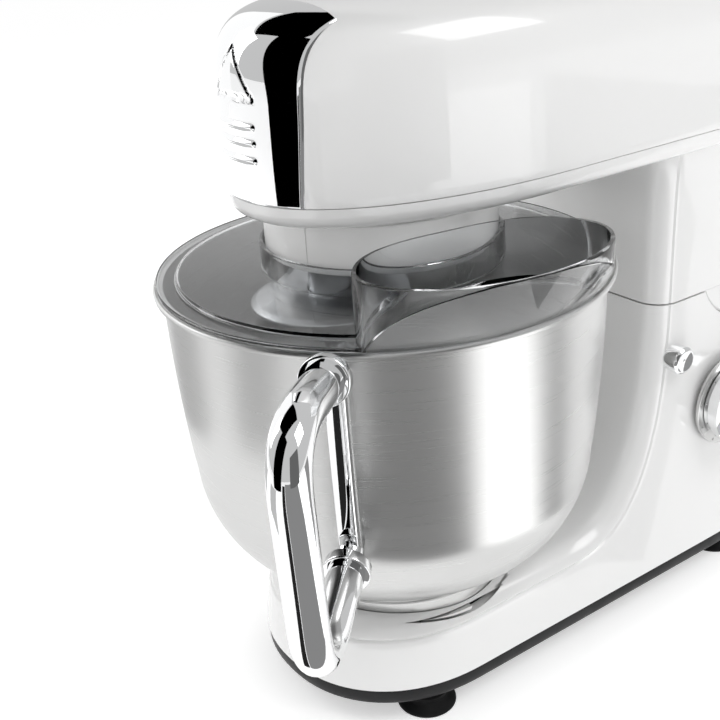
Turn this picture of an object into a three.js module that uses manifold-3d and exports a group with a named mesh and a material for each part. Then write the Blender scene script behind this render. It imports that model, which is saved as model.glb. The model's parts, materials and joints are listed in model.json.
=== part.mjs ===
// Tilt-head stand mixer with a steel bowl, a clear splash guard and a dough hook.
// Millimetres, +Z up, nose of the head towards -Y, the mixer's right-hand side at +X.
// Heights are measured from the counter. Until the last lines, X and Y are measured from the bowl's axis.
import * as THREE from 'three';
import { mergeVertices } from 'three/addons/utils/BufferGeometryUtils.js';
import Module from 'manifold-3d';

const wasm = await Module();
wasm.setup();

// ---------------------------------------------------------------- fits

const gap = 0.3;            // between pieces that touch
const runningGap = 0.4;     // radial, between pieces that turn or slide on each other
const seamGap = 0.6;        // between the neck and the column it folds down onto

// ---------------------------------------------------------------- driving dimensions

const foot = { radius: 16, neckRadius: 10, height: 12.2, padHeight: 2.5, x: 52, frontY: -24, rearY: 210 };

const base = {
  halfWidth: 71, frontY: -77, frontCentreY: 0, frontPower: 2.2,
  rearY: 250, rearCentreY: 185, rearPower: 2.8,
  bandHeight: 9.7, floor: 3, wall: 3, deckZ: 60.4, deckSlope: 11, shoulderInset: 6.5,
};

const column = {
  halfWidth: 60, frontY: 138, rearY: 242, cornerDepth: 40, footFlare: 5, waistFlare: 2, waistZ: 110,
  power: 4.5, seamZ: 182, coveStartY: 68, covePower: 1.15, lipZ: 168,
};

const hinge = {
  y: 208, z: 196, barrelRadius: 34, lugRadius: 20, lugInnerX: 20, lugWidth: 10, pinRadius: 5,
  pinHalfLength: 52, capRadius: 9, capDepth: 5, capProud: 1.6, bushWall: 3, bushLength: 14,
};

const bowl = {
  rimRadius: 115, rimHeight: 3.2, rimZ: 230, wall: 1.2, bottomZ: 72,
  rimWidth: 5, sideLowRadius: 104.5, kneeZ: 132, ringRadius: 58.5,
  footWall: 1.4, lugWidth: 4.4, lugHeight: 1.8, lugCount: 3, lugHalfAngle: 13, lugAngle: -14, inLip: 5,
};

// The round well in the deck that the bowl's foot ring stands in, with three entry notches for its lugs.
const well = { lipThickness: 3, floorZ: 53, wall: 2.5, notchHalfAngle: 20, notchAngle: 7, padThickness: 1.5 };

const handle = {
  angle: -47, tubeRadius: 8.8, topZ: 225, wallReach: 125, outerReach: 190, topRise: 8,
  lowZ: 131, lowReach: 104, lowDrop: 15, legLean: 11, bend: 30, collarRadius: 11, collarLength: 6,
  barWidth: 9, barDepth: 5, standOff: 1.2, stubRadius: 6.5,
};

const head = {
  halfWidth: 73, frontY: -76, frontCentreY: 57, frontPower: 2.2, rearY: 252, rearCentreY: 184, rearPower: 2.6,
  undersideZ: 267, seamZ: 278, shoulderZ: 322, topZ: 360, crownInset: 45, crownPower: 3, wall: 3,
  lowerInset: 6, seamInset: 2,
};

const drive = {
  coverRadius: 57.5, coverWall: 3, coverBottomZ: 242.8,
  shaftRadius: 8, shaftTopZ: 347, carrierHeight: 6, spindleAngle: -110,
  ringGearWall: 11.9, planetTeeth: 10, ringTeeth: 30, gearZ: 250.6, gearHeight: 8,
  bearingRadius: 14, bearingHeight: 7,
};

const belt = { largeRadius: 46, smallRadius: 9, thickness: 2, z: 336, height: 6, pulleyHeight: 10 };

const motor = { y: 160, canRadius: 40, wall: 3, z: 276.3, height: 53, rotorRadius: 22, shaftRadius: 4 };

const chassis = {
  halfWidth: 50, frontY: -18, rearY: 215, z: 283, thickness: 5, towerRadius: 20, towerHeight: 8,
};

const outlet = {
  z: 312, hubRadius: 19, hubWall: 4, faceY: -62, backY: -40, coreRadius: 11, shaftRadius: 5,
  coneRadius: 16, coneNarrow: 10,
};

const tool = {
  spindleBottomZ: 206, sleeveRadius: 11, sleeveTopZ: 234, sleeveBottomZ: 192, shieldRadius: 40, rodRadius: 5,
};

const guard = {
  rimOverhang: 2.1, stepWidth: 9.9, thickness: 2.2, stepHeight: 1.8, collarTopZ: 247, collarWall: 2.2,
  chuteCollarGap: 1, chuteLipRadius: 134, chuteTopZ: 262, chuteWall: 2,
  chuteStartAngle: -43, chuteEndAngle: 26, chutePower: 2.3,
};

const noseCover = { lowHalfWidth: 34, highHalfWidth: 37, rearY: -43, thickness: 2.4, proud: 0.4 };

const dial = {
  y: 196, z: 112, radius: 24, depth: 17, seatX: 65, bezelRadius: 28, bezelDepth: 2.4, shaftRadius: 3,
};

const release = { y: 152, z: 150, radius: 8, proud: 5, seatX: 64, depth: 11, stemRadius: 3.5, stemEndX: 14 };

const latch = { y: 160, halfWidth: 6, depth: 8, dropZ: 166, swing: 8.5 };

const gland = { z: 42, radius: 6.5, boreRadius: 3.8, flangeRadius: 10, flangeDepth: 3, length: 9 };

const screw = {
  headRadius: 4, headHeight: 2.2, radius: 2, length: 26, bossRadius: 5, x: 52, frontY: 54, rearY: 168,
};

// ---------------------------------------------------------------- materials

const paint = new THREE.MeshStandardMaterial({ color: 0xf2f2f0, roughness: 0.18, metalness: 0 });
const whitePlastic = new THREE.MeshStandardMaterial({ color: 0xf0f0ee, roughness: 0.25, metalness: 0 });
const blackRubber = new THREE.MeshStandardMaterial({ color: 0x17171a, roughness: 0.7, metalness: 0 });
const chrome = new THREE.MeshStandardMaterial({ color: 0xdfe2e5, roughness: 0.04, metalness: 1 });
const brushedSteel = new THREE.MeshStandardMaterial({ color: 0xc3c5c7, roughness: 0.3, metalness: 1 });
const castAluminium = new THREE.MeshStandardMaterial({ color: 0xa9adb0, roughness: 0.5, metalness: 0.9 });
const gearSteel = new THREE.MeshStandardMaterial({ color: 0x8e9296, roughness: 0.4, metalness: 1 });
const copper = new THREE.MeshStandardMaterial({ color: 0xb06a3b, roughness: 0.4, metalness: 0.9 });
const circuitGreen = new THREE.MeshStandardMaterial({ color: 0x1d5a34, roughness: 0.5, metalness: 0 });
const darkPlastic = new THREE.MeshStandardMaterial({ color: 0x26282b, roughness: 0.45, metalness: 0 });
const clearPlastic = new THREE.MeshStandardMaterial({
  color: 0xcfd3d6, roughness: 0.05, metalness: 0, transparent: true, opacity: 0.35,
});

// ---------------------------------------------------------------- solids

const degrees = Math.PI / 180;
const fineSides = 30;       // round pieces that show or that others fit round
const mediumSides = 16;
const coarseSides = 8;

// A manifold solid from a closed geometry, with its faces pointing out.
function toSolid(geometry) {
  const bare = geometry.clone();
  bare.deleteAttribute('normal');
  bare.deleteAttribute('uv');
  const merged = mergeVertices(bare, 1e-4);
  const points = new Float32Array(merged.attributes.position.array);
  const corners = [...merged.index.array];
  const triangles = [];
  const a = new THREE.Vector3();
  const b = new THREE.Vector3();
  const c = new THREE.Vector3();
  let volume = 0;
  for (let i = 0; i < corners.length; i += 3) {
    const [p, q, r] = corners.slice(i, i + 3);
    if (p === q || q === r || r === p) continue;
    triangles.push([p, q, r]);
    a.fromArray(points, 3 * p);
    b.fromArray(points, 3 * q);
    c.fromArray(points, 3 * r);
    volume += a.dot(b.cross(c));
  }
  const outward = volume > 0 ? triangles : triangles.map((corner) => corner.reverse());
  const triVerts = new Uint32Array(outward.flat());
  const mesh = new wasm.Mesh({ numProp: 3, vertProperties: points, triVerts });
  return new wasm.Manifold(mesh);
}

function toGeometry(solid) {
  const mesh = solid.getMesh();
  const geometry = new THREE.BufferGeometry();
  geometry.setAttribute('position', new THREE.BufferAttribute(new Float32Array(mesh.vertProperties), 3));
  geometry.setIndex([...mesh.triVerts]);
  return geometry;
}

function cut(body, ...tools) {
  return toGeometry(tools.reduce((solid, piece) => solid.subtract(toSolid(piece)), toSolid(body)));
}

function join(body, ...others) {
  return toGeometry(others.reduce((solid, piece) => solid.add(toSolid(piece)), toSolid(body)));
}

function common(body, other) {
  return toGeometry(toSolid(body).intersect(toSolid(other)));
}

function box(x0, x1, y0, y1, z0, z1) {
  const geometry = new THREE.BoxGeometry(x1 - x0, y1 - y0, z1 - z0);
  return geometry.translate((x0 + x1) / 2, (y0 + y1) / 2, (z0 + z1) / 2);
}

function postZ(radius, z0, z1, x = 0, y = 0, sides = mediumSides) {
  const geometry = new THREE.CylinderGeometry(radius, radius, z1 - z0, sides).rotateX(Math.PI / 2);
  return geometry.translate(x, y, (z0 + z1) / 2);
}

function barX(radius, x0, x1, y, z, sides = mediumSides) {
  const geometry = new THREE.CylinderGeometry(radius, radius, x1 - x0, sides).rotateZ(Math.PI / 2);
  return geometry.translate((x0 + x1) / 2, y, z);
}

function barY(radius, y0, y1, x, z, sides = mediumSides) {
  return new THREE.CylinderGeometry(radius, radius, y1 - y0, sides).translate(x, (y0 + y1) / 2, z);
}

// Turns a closed profile of [radius, height] points about the Z axis.
function turned(profile, sides = mediumSides) {
  const points = profile.map(([radius, z]) => new THREE.Vector2(radius, z));
  return new THREE.LatheGeometry(points, sides).rotateX(Math.PI / 2);
}

function ringZ(outer, inner, z0, z1, sides = mediumSides) {
  return turned([[inner, z0], [outer, z0], [outer, z1], [inner, z1], [inner, z0]], sides);
}

// Moves a piece turned about Z so that its axis runs along +X through (y, z), its height becoming X.
function alongX(geometry, y, z) {
  return geometry.rotateY(Math.PI / 2).translate(0, y, z);
}

function plate(shape, z0, z1, curveSegments = 12) {
  const settings = { depth: z1 - z0, bevelEnabled: false, curveSegments };
  return new THREE.ExtrudeGeometry(shape, settings).translate(0, 0, z0);
}

// Extrudes a profile drawn in (y, z) from x0 to x1.
function sideProfile(points, x0, x1) {
  const shape = new THREE.Shape(points.map(([y, z]) => new THREE.Vector2(y, z)));
  const geometry = new THREE.ExtrudeGeometry(shape, { depth: x1 - x0, bevelEnabled: false });
  const toSideView = new THREE.Matrix4().set(0, 0, 1, x0, 1, 0, 0, 0, 0, 1, 0, 0, 0, 0, 0, 1);
  return geometry.applyMatrix4(toSideView);
}

// Skins rings of points that all have the same count, and caps the two ends.
function loft(rings) {
  const count = rings[0].length;
  const positions = rings.flat().flatMap(([x, y, z]) => [x, y, z]);
  const index = [];
  for (let level = 0; level + 1 < rings.length; level += 1) {
    for (let i = 0; i < count; i += 1) {
      const here = level * count + i;
      const next = level * count + (i + 1) % count;
      index.push(here, next, here + count, next, next + count, here + count);
    }
  }
  const flat = (ring) => ring.map(([x, y]) => new THREE.Vector2(x, y));
  const capOf = (ring) => THREE.ShapeUtils.triangulateShape(flat(ring), []);
  const last = (rings.length - 1) * count;
  for (const [a, b, c] of capOf(rings[0])) index.push(a, c, b);
  for (const [a, b, c] of capOf(rings[rings.length - 1])) index.push(last + a, last + b, last + c);
  const geometry = new THREE.BufferGeometry();
  geometry.setAttribute('position', new THREE.Float32BufferAttribute(positions, 3));
  geometry.setIndex(index);
  return geometry;
}

function tube(path, radius, steps, sides = 10) {
  const section = new THREE.Shape(Array.from({ length: sides }, (_, i) => {
    const angle = (i / sides) * 2 * Math.PI;
    return new THREE.Vector2(radius * Math.cos(angle), radius * Math.sin(angle));
  }));
  return new THREE.ExtrudeGeometry(section, { steps, extrudePath: path, bevelEnabled: false });
}

const signedPower = (value, power) => Math.sign(value) * Math.abs(value) ** power;

// A closed plan outline: straight sides between a rounded front and a rounded rear, moved in by inset.
function planOutline(shape, inset, z, stepsPerEnd = 9) {
  const half = shape.halfWidth - inset;
  const end = (centre, depth, power, startAngle) => Array.from({ length: stepsPerEnd + 1 }, (_, i) => {
    const angle = startAngle + (i / stepsPerEnd) * Math.PI;
    const x = half * signedPower(Math.cos(angle), 2 / power);
    const y = centre + depth * signedPower(Math.sin(angle), 2 / power);
    return [x, y, z];
  });
  const rear = end(shape.rearCentreY, shape.rearY - shape.rearCentreY - inset, shape.rearPower, 0);
  const front = end(shape.frontCentreY, shape.frontCentreY - shape.frontY - inset, shape.frontPower, Math.PI);
  return [...rear, ...front];
}

function outlineStack(shape, levels, stepsPerEnd = 9) {
  return loft(levels.map(([z, inset]) => planOutline(shape, inset, z, stepsPerEnd)));
}

const bodies = {};

function addPiece(body, name, geometry, material) {
  bodies[body] ??= new THREE.Group();
  const shaded = geometry.index ? geometry.toNonIndexed() : geometry;
  shaded.computeVertexNormals();
  const mesh = new THREE.Mesh(shaded, material);
  mesh.name = name;
  bodies[body].add(mesh);
}

// ---------------------------------------------------------------- base and column

const bandTopZ = foot.height + base.bandHeight;
const housingZ = bandTopZ + gap;
const screwPlaces = [-1, 1].flatMap((side) => [screw.frontY, screw.rearY].map((y) => [side * screw.x, y]));

const columnOutline = {
  halfWidth: column.halfWidth, frontY: column.frontY, frontCentreY: column.frontY + column.cornerDepth,
  frontPower: column.power, rearY: column.rearY, rearCentreY: column.rearY - column.cornerDepth,
  rearPower: column.power,
};

const footOuter = bowl.ringRadius + bowl.footWall;
const lugRadius = footOuter + bowl.lugWidth;
const wellRadius = lugRadius + 1;
const lipBottomZ = base.deckZ - well.lipThickness;

function bayonetAngles(first) {
  return Array.from({ length: bowl.lugCount }, (_, i) => first + i * 360 / bowl.lugCount);
}

// A block with round inner and outer faces about the bowl's axis.
function arcBlock(inner, outer, midAngle, halfAngle, z0, z1) {
  const shape = new THREE.Shape();
  const start = (midAngle - halfAngle) * degrees;
  const end = (midAngle + halfAngle) * degrees;
  shape.absarc(0, 0, outer, start, end, false);
  shape.absarc(0, 0, inner, end, start, true);
  return plate(shape, z0, z1, 4);
}

// The concave sweep from the deck up to the column's front face, as (y, z) points.
function covePoints() {
  const coveSteps = 8;
  const points = [];
  const run = column.frontY - column.coveStartY;
  const rise = column.seamZ - base.deckZ;
  for (let i = 0; i <= coveSteps; i += 1) {
    const angle = (i / coveSteps) * Math.PI / 2;
    const y = column.coveStartY + run * Math.sin(angle);
    const z = base.deckZ + rise * (1 - Math.cos(angle)) ** column.covePower;
    points.push([y, z]);
  }
  return points;
}

function baseHousing() {
  const deckEdgeZ = base.deckZ - base.deckSlope;
  const levels = [
    [housingZ, 0], [deckEdgeZ - 8, 2], [deckEdgeZ, 5],
    [base.deckZ - 3, base.shoulderInset + 2.5], [base.deckZ, base.shoulderInset + 8],
  ];
  const deck = outlineStack(base, levels);
  const columnLevels = [
    [housingZ + 10, -column.footFlare], [base.deckZ, -column.footFlare], [column.waistZ, -column.waistFlare],
    [column.seamZ, 0],
  ];
  const tower = outlineStack(columnOutline, columnLevels, 6);
  const coveTopY = column.frontY + 20;
  const cove = sideProfile(
    [
      ...covePoints(), [coveTopY, column.seamZ], [coveTopY, base.deckZ - 6],
      [column.coveStartY, base.deckZ - 6],
    ],
    -column.halfWidth, column.halfWidth,
  );
  const dialBoss = barX(dial.bezelRadius + 1, column.halfWidth - 16, dial.seatX, dial.y, dial.z, 24);
  const releaseBoss = barX(release.radius + 4, column.halfWidth - 14, release.seatX, release.y, release.z);
  const outside = join(deck, tower, cove, dialBoss, releaseBoss);

  const cavityTop = hinge.z - hinge.barrelRadius - 6;
  const cavities = [
    outlineStack(base, [[housingZ - 1, base.wall], [deckEdgeZ - 6, base.wall + 3],
      [base.deckZ - base.wall - 1, base.shoulderInset + 8 + base.wall]]),
    outlineStack(columnOutline, [[housingZ - 1, base.wall], [cavityTop - 40, base.wall + 1],
      [cavityTop, base.wall + 2]], 4),
    barX(hinge.barrelRadius + seamGap, -100, 100, hinge.y, hinge.z, 22),
    box(-100, 100, hinge.y, base.rearY + 20, column.lipZ, column.seamZ + 40),
    box(-latch.halfWidth - 2, latch.halfWidth + 2, latch.y - latch.depth / 2 - latch.swing,
      latch.y + latch.depth / 2 + 2, cavityTop - 1, column.seamZ + 1),
    barX(dial.shaftRadius + runningGap, 0, 100, dial.y, dial.z, coarseSides),
    barX(release.radius + runningGap, release.seatX - release.depth, 100, release.y, release.z),
    barX(release.stemRadius + runningGap, 0, 100, release.y, release.z, coarseSides),
    barY(gland.radius + gap, base.rearY - 30, base.rearY + 10, 0, gland.z),
  ];
  const lugs = [-1, 1].map((side) => {
    const inner = side * hinge.lugInnerX;
    const outer = side * (hinge.lugInnerX + hinge.lugWidth);
    const x0 = Math.min(inner, outer);
    const x1 = Math.max(inner, outer);
    const disc = barX(hinge.lugRadius, x0, x1, hinge.y, hinge.z, 20);
    const stem = box(x0, x1, hinge.y - hinge.lugRadius, hinge.y + hinge.lugRadius, cavityTop + 2, hinge.z);
    return join(disc, stem);
  });
  const bossTop = base.deckZ - base.wall;
  const bosses = screwPlaces.map(([x, y]) => postZ(screw.bossRadius, housingZ, bossTop, x, y, 8));
  const holeTop = housingZ + screw.length;
  const holes = screwPlaces.map(([x, y]) =>
    postZ(screw.radius + gap, housingZ - 1, holeTop, x, y, coarseSides));
  const cup = postZ(wellRadius + well.wall, well.floorZ - well.wall, base.deckZ - 1, 0, 0, fineSides);
  const wellCuts = [
    postZ(footOuter + runningGap, well.floorZ, base.deckZ + 1, 0, 0, fineSides),
    postZ(wellRadius, well.floorZ, lipBottomZ, 0, 0, fineSides),
    ...bayonetAngles(well.notchAngle).map((angle) => arcBlock(footOuter - 3, lugRadius + gap, angle,
      well.notchHalfAngle, lipBottomZ - 1, base.deckZ + 1)),
  ];
  const hollow = cut(join(cut(outside, ...cavities), cup), ...wellCuts);
  const pinHole = barX(hinge.pinRadius + gap, -100, 100, hinge.y, hinge.z);
  return cut(join(hollow, ...lugs, ...bosses), pinHole, ...holes);
}

function basePlate() {
  const outer = outlineStack(base, [[foot.height, 2.5], [foot.height + 3, 0.4], [bandTopZ, 0.4]]);
  const tray = outlineStack(base, [[foot.height + base.floor, base.wall + 2], [bandTopZ + 1, base.wall + 2]]);
  const posts = screwPlaces.map(([x, y]) => postZ(screw.bossRadius, foot.height + 1, bandTopZ, x, y, 8));
  const holes = screwPlaces.map(([x, y]) => postZ(screw.radius + gap, 0, bandTopZ + 1, x, y, coarseSides));
  return cut(join(cut(outer, tray), ...posts), ...holes);
}

function suctionFoot(x, y) {
  const top = foot.height - gap;
  const profile = [
    [0, 0], [foot.radius, 0], [foot.radius, foot.padHeight], [foot.neckRadius, foot.padHeight + 3],
    [foot.neckRadius, top], [0, top],
  ];
  return turned(profile, 12).translate(x, y, 0);
}

function baseScrew(x, y) {
  const headTop = foot.height - gap;
  const headBottom = headTop - screw.headHeight;
  const profile = [
    [0, headBottom], [screw.headRadius, headBottom], [screw.headRadius, headTop], [screw.radius, headTop],
    [screw.radius, headTop + screw.length], [0, headTop + screw.length],
  ];
  return turned(profile, coarseSides).translate(x, y, 0);
}

addPiece('base', 'base_housing', baseHousing(), paint);
addPiece('base', 'base_plate', basePlate(), darkPlastic);
for (const [end, y] of [['front', foot.frontY], ['rear', foot.rearY]]) {
  addPiece('base', `suction_foot_${end}_left`, suctionFoot(-foot.x, y), blackRubber);
  addPiece('base', `suction_foot_${end}_right`, suctionFoot(foot.x, y), blackRubber);
}
screwPlaces.forEach(([x, y], i) => addPiece('base', `base_screw_${i + 1}`, baseScrew(x, y), gearSteel));

const padZ = well.floorZ + gap;
const padTopZ = padZ + well.padThickness;
addPiece('base', 'bowl_seat_pad', ringZ(footOuter, footOuter - 12, padZ, padTopZ, 24), blackRubber);

// ---------------------------------------------------------------- hinge pin and its caps

addPiece('base', 'hinge_pin',
  barX(hinge.pinRadius, -hinge.pinHalfLength, hinge.pinHalfLength, hinge.y, hinge.z, 14),
  gearSteel);

function hingeCap(side) {
  const inner = column.halfWidth - 1 - hinge.capDepth;
  const cap = turned([
    [0, inner], [hinge.capRadius, inner], [hinge.capRadius, column.halfWidth + hinge.capProud],
    [0, column.halfWidth + hinge.capProud]], 16);
  return side > 0 ? alongX(cap, hinge.y, hinge.z) : alongX(cap.rotateX(Math.PI), hinge.y, hinge.z);
}

function hingeBush(side) {
  const start = hinge.lugInnerX + hinge.lugWidth + 2;
  const bush = ringZ(hinge.pinRadius + runningGap + hinge.bushWall, hinge.pinRadius + runningGap, start,
    start + hinge.bushLength, 14);
  return side > 0 ? alongX(bush, hinge.y, hinge.z) : alongX(bush.rotateX(Math.PI), hinge.y, hinge.z);
}

for (const [name, side] of [['left', -1], ['right', 1]]) {
  addPiece('head', `hinge_cap_${name}`, hingeCap(side), whitePlastic);
  addPiece('head', `hinge_bush_${name}`, hingeBush(side), gearSteel);
}

// ---------------------------------------------------------------- controls on the column

const bezelX = dial.seatX + gap;
const dialX = bezelX + dial.bezelDepth + gap;
const switchEndX = 44;

function speedDial() {
  const face = dialX + dial.depth;
  const profile = [
    [0, switchEndX + gap], [dial.shaftRadius, switchEndX + gap], [dial.shaftRadius, dialX],
    [dial.radius, dialX],
    [dial.radius, face - 3], [dial.radius - 3, face], [0, face],
  ];
  const grip = box(face - 9, face, -3.5, 3.5, -dial.radius + 2, dial.radius - 2).translate(0, dial.y, dial.z);
  const knob = alongX(turned(profile, 24), dial.y, dial.z);
  const pockets = [-1, 1].map((side) => barX(dial.radius - 5, face - 8, face + 1, dial.y + side * dial.radius,
    dial.z, 16));
  return join(cut(knob, ...pockets), grip);
}

const bezel = ringZ(dial.bezelRadius, dial.shaftRadius + 2, bezelX, bezelX + dial.bezelDepth, 24);
addPiece('base', 'dial_bezel', alongX(bezel, dial.y, dial.z), brushedSteel);
addPiece('base', 'speed_switch',
  box(20, switchEndX, dial.y - 13, dial.y + 13, dial.z - 13, dial.z + 13), darkPlastic);
addPiece('base', 'control_board',
  box(-46, -44, dial.y - 45, dial.y + 25, dial.z - 35, dial.z + 30), circuitGreen);
addPiece('dial', 'speed_dial', speedDial(), chrome);

function releaseButton() {
  const inner = release.seatX - release.depth + release.proud + 1;
  const face = release.seatX + release.proud;
  const profile = [
    [0, release.stemEndX], [release.stemRadius, release.stemEndX], [release.stemRadius, inner],
    [release.radius, inner], [release.radius, face - 1.5], [release.radius - 1.5, face], [0, face],
  ];
  return alongX(turned(profile, 14), release.y, release.z);
}

addPiece('button', 'release_button', releaseButton(), chrome);

function cordGland() {
  const wallY = base.rearY - 6;
  const flangeY = base.rearY + gap;
  const profile = [
    [gland.boreRadius, wallY], [gland.radius, wallY], [gland.radius, flangeY], [gland.flangeRadius, flangeY],
    [gland.flangeRadius, flangeY + gland.flangeDepth], [gland.boreRadius + 1, flangeY + gland.length],
    [gland.boreRadius, flangeY + gland.length], [gland.boreRadius, wallY],
  ];
  const points = profile.map(([radius, y]) => new THREE.Vector2(radius, y));
  return new THREE.LatheGeometry(points, 14).translate(0, 0, gland.z);
}

addPiece('base', 'cord_gland', cordGland(), blackRubber);

// ---------------------------------------------------------------- head shells

const headSteps = 12;

// Levels of the domed upper shell, as [height, inset] pairs, shrunk all round by depth.
function domeLevels(startZ, depth) {
  const domeSteps = 5;
  const shoulderInset = 0.8;
  const levels = [[startZ, depth], [head.shoulderZ, depth + shoulderInset]];
  const rise = head.topZ - depth - head.shoulderZ;
  for (let i = 1; i <= domeSteps; i += 1) {
    const angle = (i / domeSteps) * Math.PI / 2;
    const z = head.shoulderZ + rise * Math.sin(angle) ** (2 / head.crownPower);
    const inward = 1 - signedPower(Math.cos(angle), 2 / head.crownPower);
    levels.push([z, depth + shoulderInset + head.crownInset * inward]);
  }
  return levels;
}

// The wedge that the nose cover fills, grown sideways by margin, seen from the front.
function noseWedge(margin, z0) {
  const low = noseCover.lowHalfWidth + margin;
  const high = noseCover.highHalfWidth + margin;
  const topZ = head.topZ + 20;
  const slope = (high - low) / (head.topZ - head.seamZ);
  const top = high + slope * (topZ - head.topZ);
  const y0 = head.frontY - 10;
  const y1 = noseCover.rearY + margin;
  const ring = (half, z) => [[-half, y0, z], [half, y0, z], [half, y1, z], [-half, y1, z]];
  return loft([ring(low - slope * (head.seamZ - z0), z0), ring(top, topZ)]);
}

function upperShell() {
  const outer = outlineStack(head, domeLevels(head.seamZ, 0), headSteps);
  const inner = outlineStack(head, domeLevels(head.seamZ - 2, head.wall), headSteps);
  const pocketFloor = outlineStack(head, domeLevels(head.seamZ - 2, noseCover.thickness), headSteps);
  const pocket = cut(noseWedge(gap, head.seamZ - 1), pocketFloor);
  const hubHole = barY(outlet.hubRadius + gap, head.frontY - 5, outlet.faceY + 15, 0, outlet.z);
  return cut(outer, inner, pocket, hubHole);
}

function noseCoverPiece() {
  const outer = outlineStack(head, domeLevels(head.seamZ, -noseCover.proud), headSteps);
  const inner = outlineStack(head, domeLevels(head.seamZ - 2, noseCover.thickness - gap), headSteps);
  return common(cut(outer, inner), noseWedge(0, head.seamZ + gap));
}

const neckLift = column.seamZ + seamGap;

function lowerShell() {
  const trayOuter = outlineStack(head, [
    [head.undersideZ, head.lowerInset], [head.undersideZ + 4, head.lowerInset - 3.5],
    [head.seamZ - gap, head.seamInset],
  ]);
  const neckOuter = outlineStack(columnOutline, [
    [neckLift, 0], [head.undersideZ - 34, 0], [head.undersideZ - 12, -1.5], [head.undersideZ + 1, -3.6],
  ], 6);
  const barrel = common(
    barX(hinge.barrelRadius, -column.halfWidth, column.halfWidth, hinge.y, hinge.z, 22),
    outlineStack(columnOutline, [[hinge.z - 60, 0], [hinge.z + 60, 0]], 6),
  );
  const behindBarrel = box(-100, 100, hinge.y, head.rearY + 20, neckLift - 1, hinge.z);
  const neck = join(cut(neckOuter, behindBarrel), barrel);
  const body = join(trayOuter, neck);
  const slots = [-1, 1].map((side) => {
    const inner = side * (hinge.lugInnerX - seamGap);
    const outer = side * (hinge.lugInnerX + hinge.lugWidth + seamGap);
    return barX(hinge.barrelRadius + 3, Math.min(inner, outer), Math.max(inner, outer), hinge.y, hinge.z, 22);
  });
  const bushPockets = [-1, 1].map((side) => {
    const start = side * (hinge.lugInnerX + hinge.lugWidth);
    const end = side * (hinge.lugInnerX + hinge.lugWidth + 2 + hinge.bushLength + gap);
    const radius = hinge.pinRadius + runningGap + hinge.bushWall + gap;
    return barX(radius, Math.min(start, end), Math.max(start, end), hinge.y, hinge.z);
  });
  const capPockets = [-1, 1].map((side) => {
    const start = side * (column.halfWidth - 1 - hinge.capDepth - gap);
    const end = side * (column.halfWidth + 10);
    return barX(hinge.capRadius + gap, Math.min(start, end), Math.max(start, end), hinge.y, hinge.z);
  });
  const cuts = [
    outlineStack(head, [[head.undersideZ + head.wall, head.lowerInset + head.wall],
      [head.seamZ + 1, head.wall + head.seamInset]]),
    outlineStack(columnOutline, [[hinge.z + hinge.barrelRadius + 8, 4], [head.seamZ + 1, 4]], 4),
    postZ(drive.coverRadius - drive.coverWall, head.undersideZ - 1, head.seamZ, 0, 0, fineSides),
    barX(hinge.pinRadius + runningGap, -hinge.pinHalfLength - 2, hinge.pinHalfLength + 2, hinge.y, hinge.z),
    ...slots, ...bushPockets, ...capPockets,
  ];
  return cut(body, ...cuts);
}

const keeperTopZ = neckLift + 4;

function latchKeeper() {
  return box(-latch.halfWidth, latch.halfWidth, latch.y - latch.depth / 2, latch.y + latch.depth / 2,
    latch.dropZ, keeperTopZ);
}

function lowerShellWithKeeperSlot() {
  const slot = box(-latch.halfWidth - gap, latch.halfWidth + gap, latch.y - latch.depth / 2 - gap,
    latch.y + latch.depth / 2 + gap, latch.dropZ - 5, keeperTopZ + gap);
  return cut(lowerShell(), slot);
}

addPiece('head', 'head_upper_shell', upperShell(), paint);
addPiece('head', 'head_lower_shell', lowerShellWithKeeperSlot(), paint);
addPiece('head', 'latch_keeper', latchKeeper(), gearSteel);
addPiece('nose_cover', 'nose_cover', noseCoverPiece(), chrome);

// ---------------------------------------------------------------- drive housing, gears and bearings

const coverInner = drive.coverRadius - drive.coverWall;
const gearOuterFit = coverInner - 2 * gap;
const gearModule = 2 * (gearOuterFit - drive.ringGearWall) / drive.ringTeeth;
const spindleOffset = gearModule * (drive.ringTeeth - drive.planetTeeth) / 2;
const housingPlateZ = chassis.z - gap - drive.bearingHeight;

function driveCover() {
  return ringZ(drive.coverRadius, coverInner, drive.coverBottomZ, head.undersideZ - gap, fineSides);
}

const toothDepth = 0.8 * gearModule;

// Straight-sided teeth on a closed loop; outward teeth for a gear, inward ones for a ring gear.
function toothLoop(teeth, inward) {
  const pitchRadius = teeth * gearModule / 2;
  const pitchAngle = 2 * Math.PI / teeth;
  const sign = inward ? -1 : 1;
  const root = pitchRadius - sign * (toothDepth + 0.5);
  const tip = pitchRadius + sign * toothDepth;
  const loop = [];
  for (let i = 0; i < teeth; i += 1) {
    const centre = i * pitchAngle;
    for (const [radius, share] of [[root, -0.26], [tip, -0.11], [tip, 0.11], [root, 0.26]]) {
      const angle = centre + share * pitchAngle;
      loop.push(new THREE.Vector2(radius * Math.cos(angle), radius * Math.sin(angle)));
    }
  }
  return loop;
}

const spindleX = spindleOffset * Math.cos(drive.spindleAngle * degrees);
const spindleY = spindleOffset * Math.sin(drive.spindleAngle * degrees);

// Turns the ring gear so that a space between two teeth faces the planet gear.
const ringPhase = drive.spindleAngle * degrees + Math.PI / drive.ringTeeth;

function ringGear() {
  const shape = new THREE.Shape().absarc(0, 0, gearOuterFit, 0, 2 * Math.PI, false);
  shape.holes.push(new THREE.Path(toothLoop(drive.ringTeeth, true)));
  return plate(shape, drive.gearZ, drive.gearZ + drive.gearHeight, 14).rotateZ(ringPhase);
}

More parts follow.
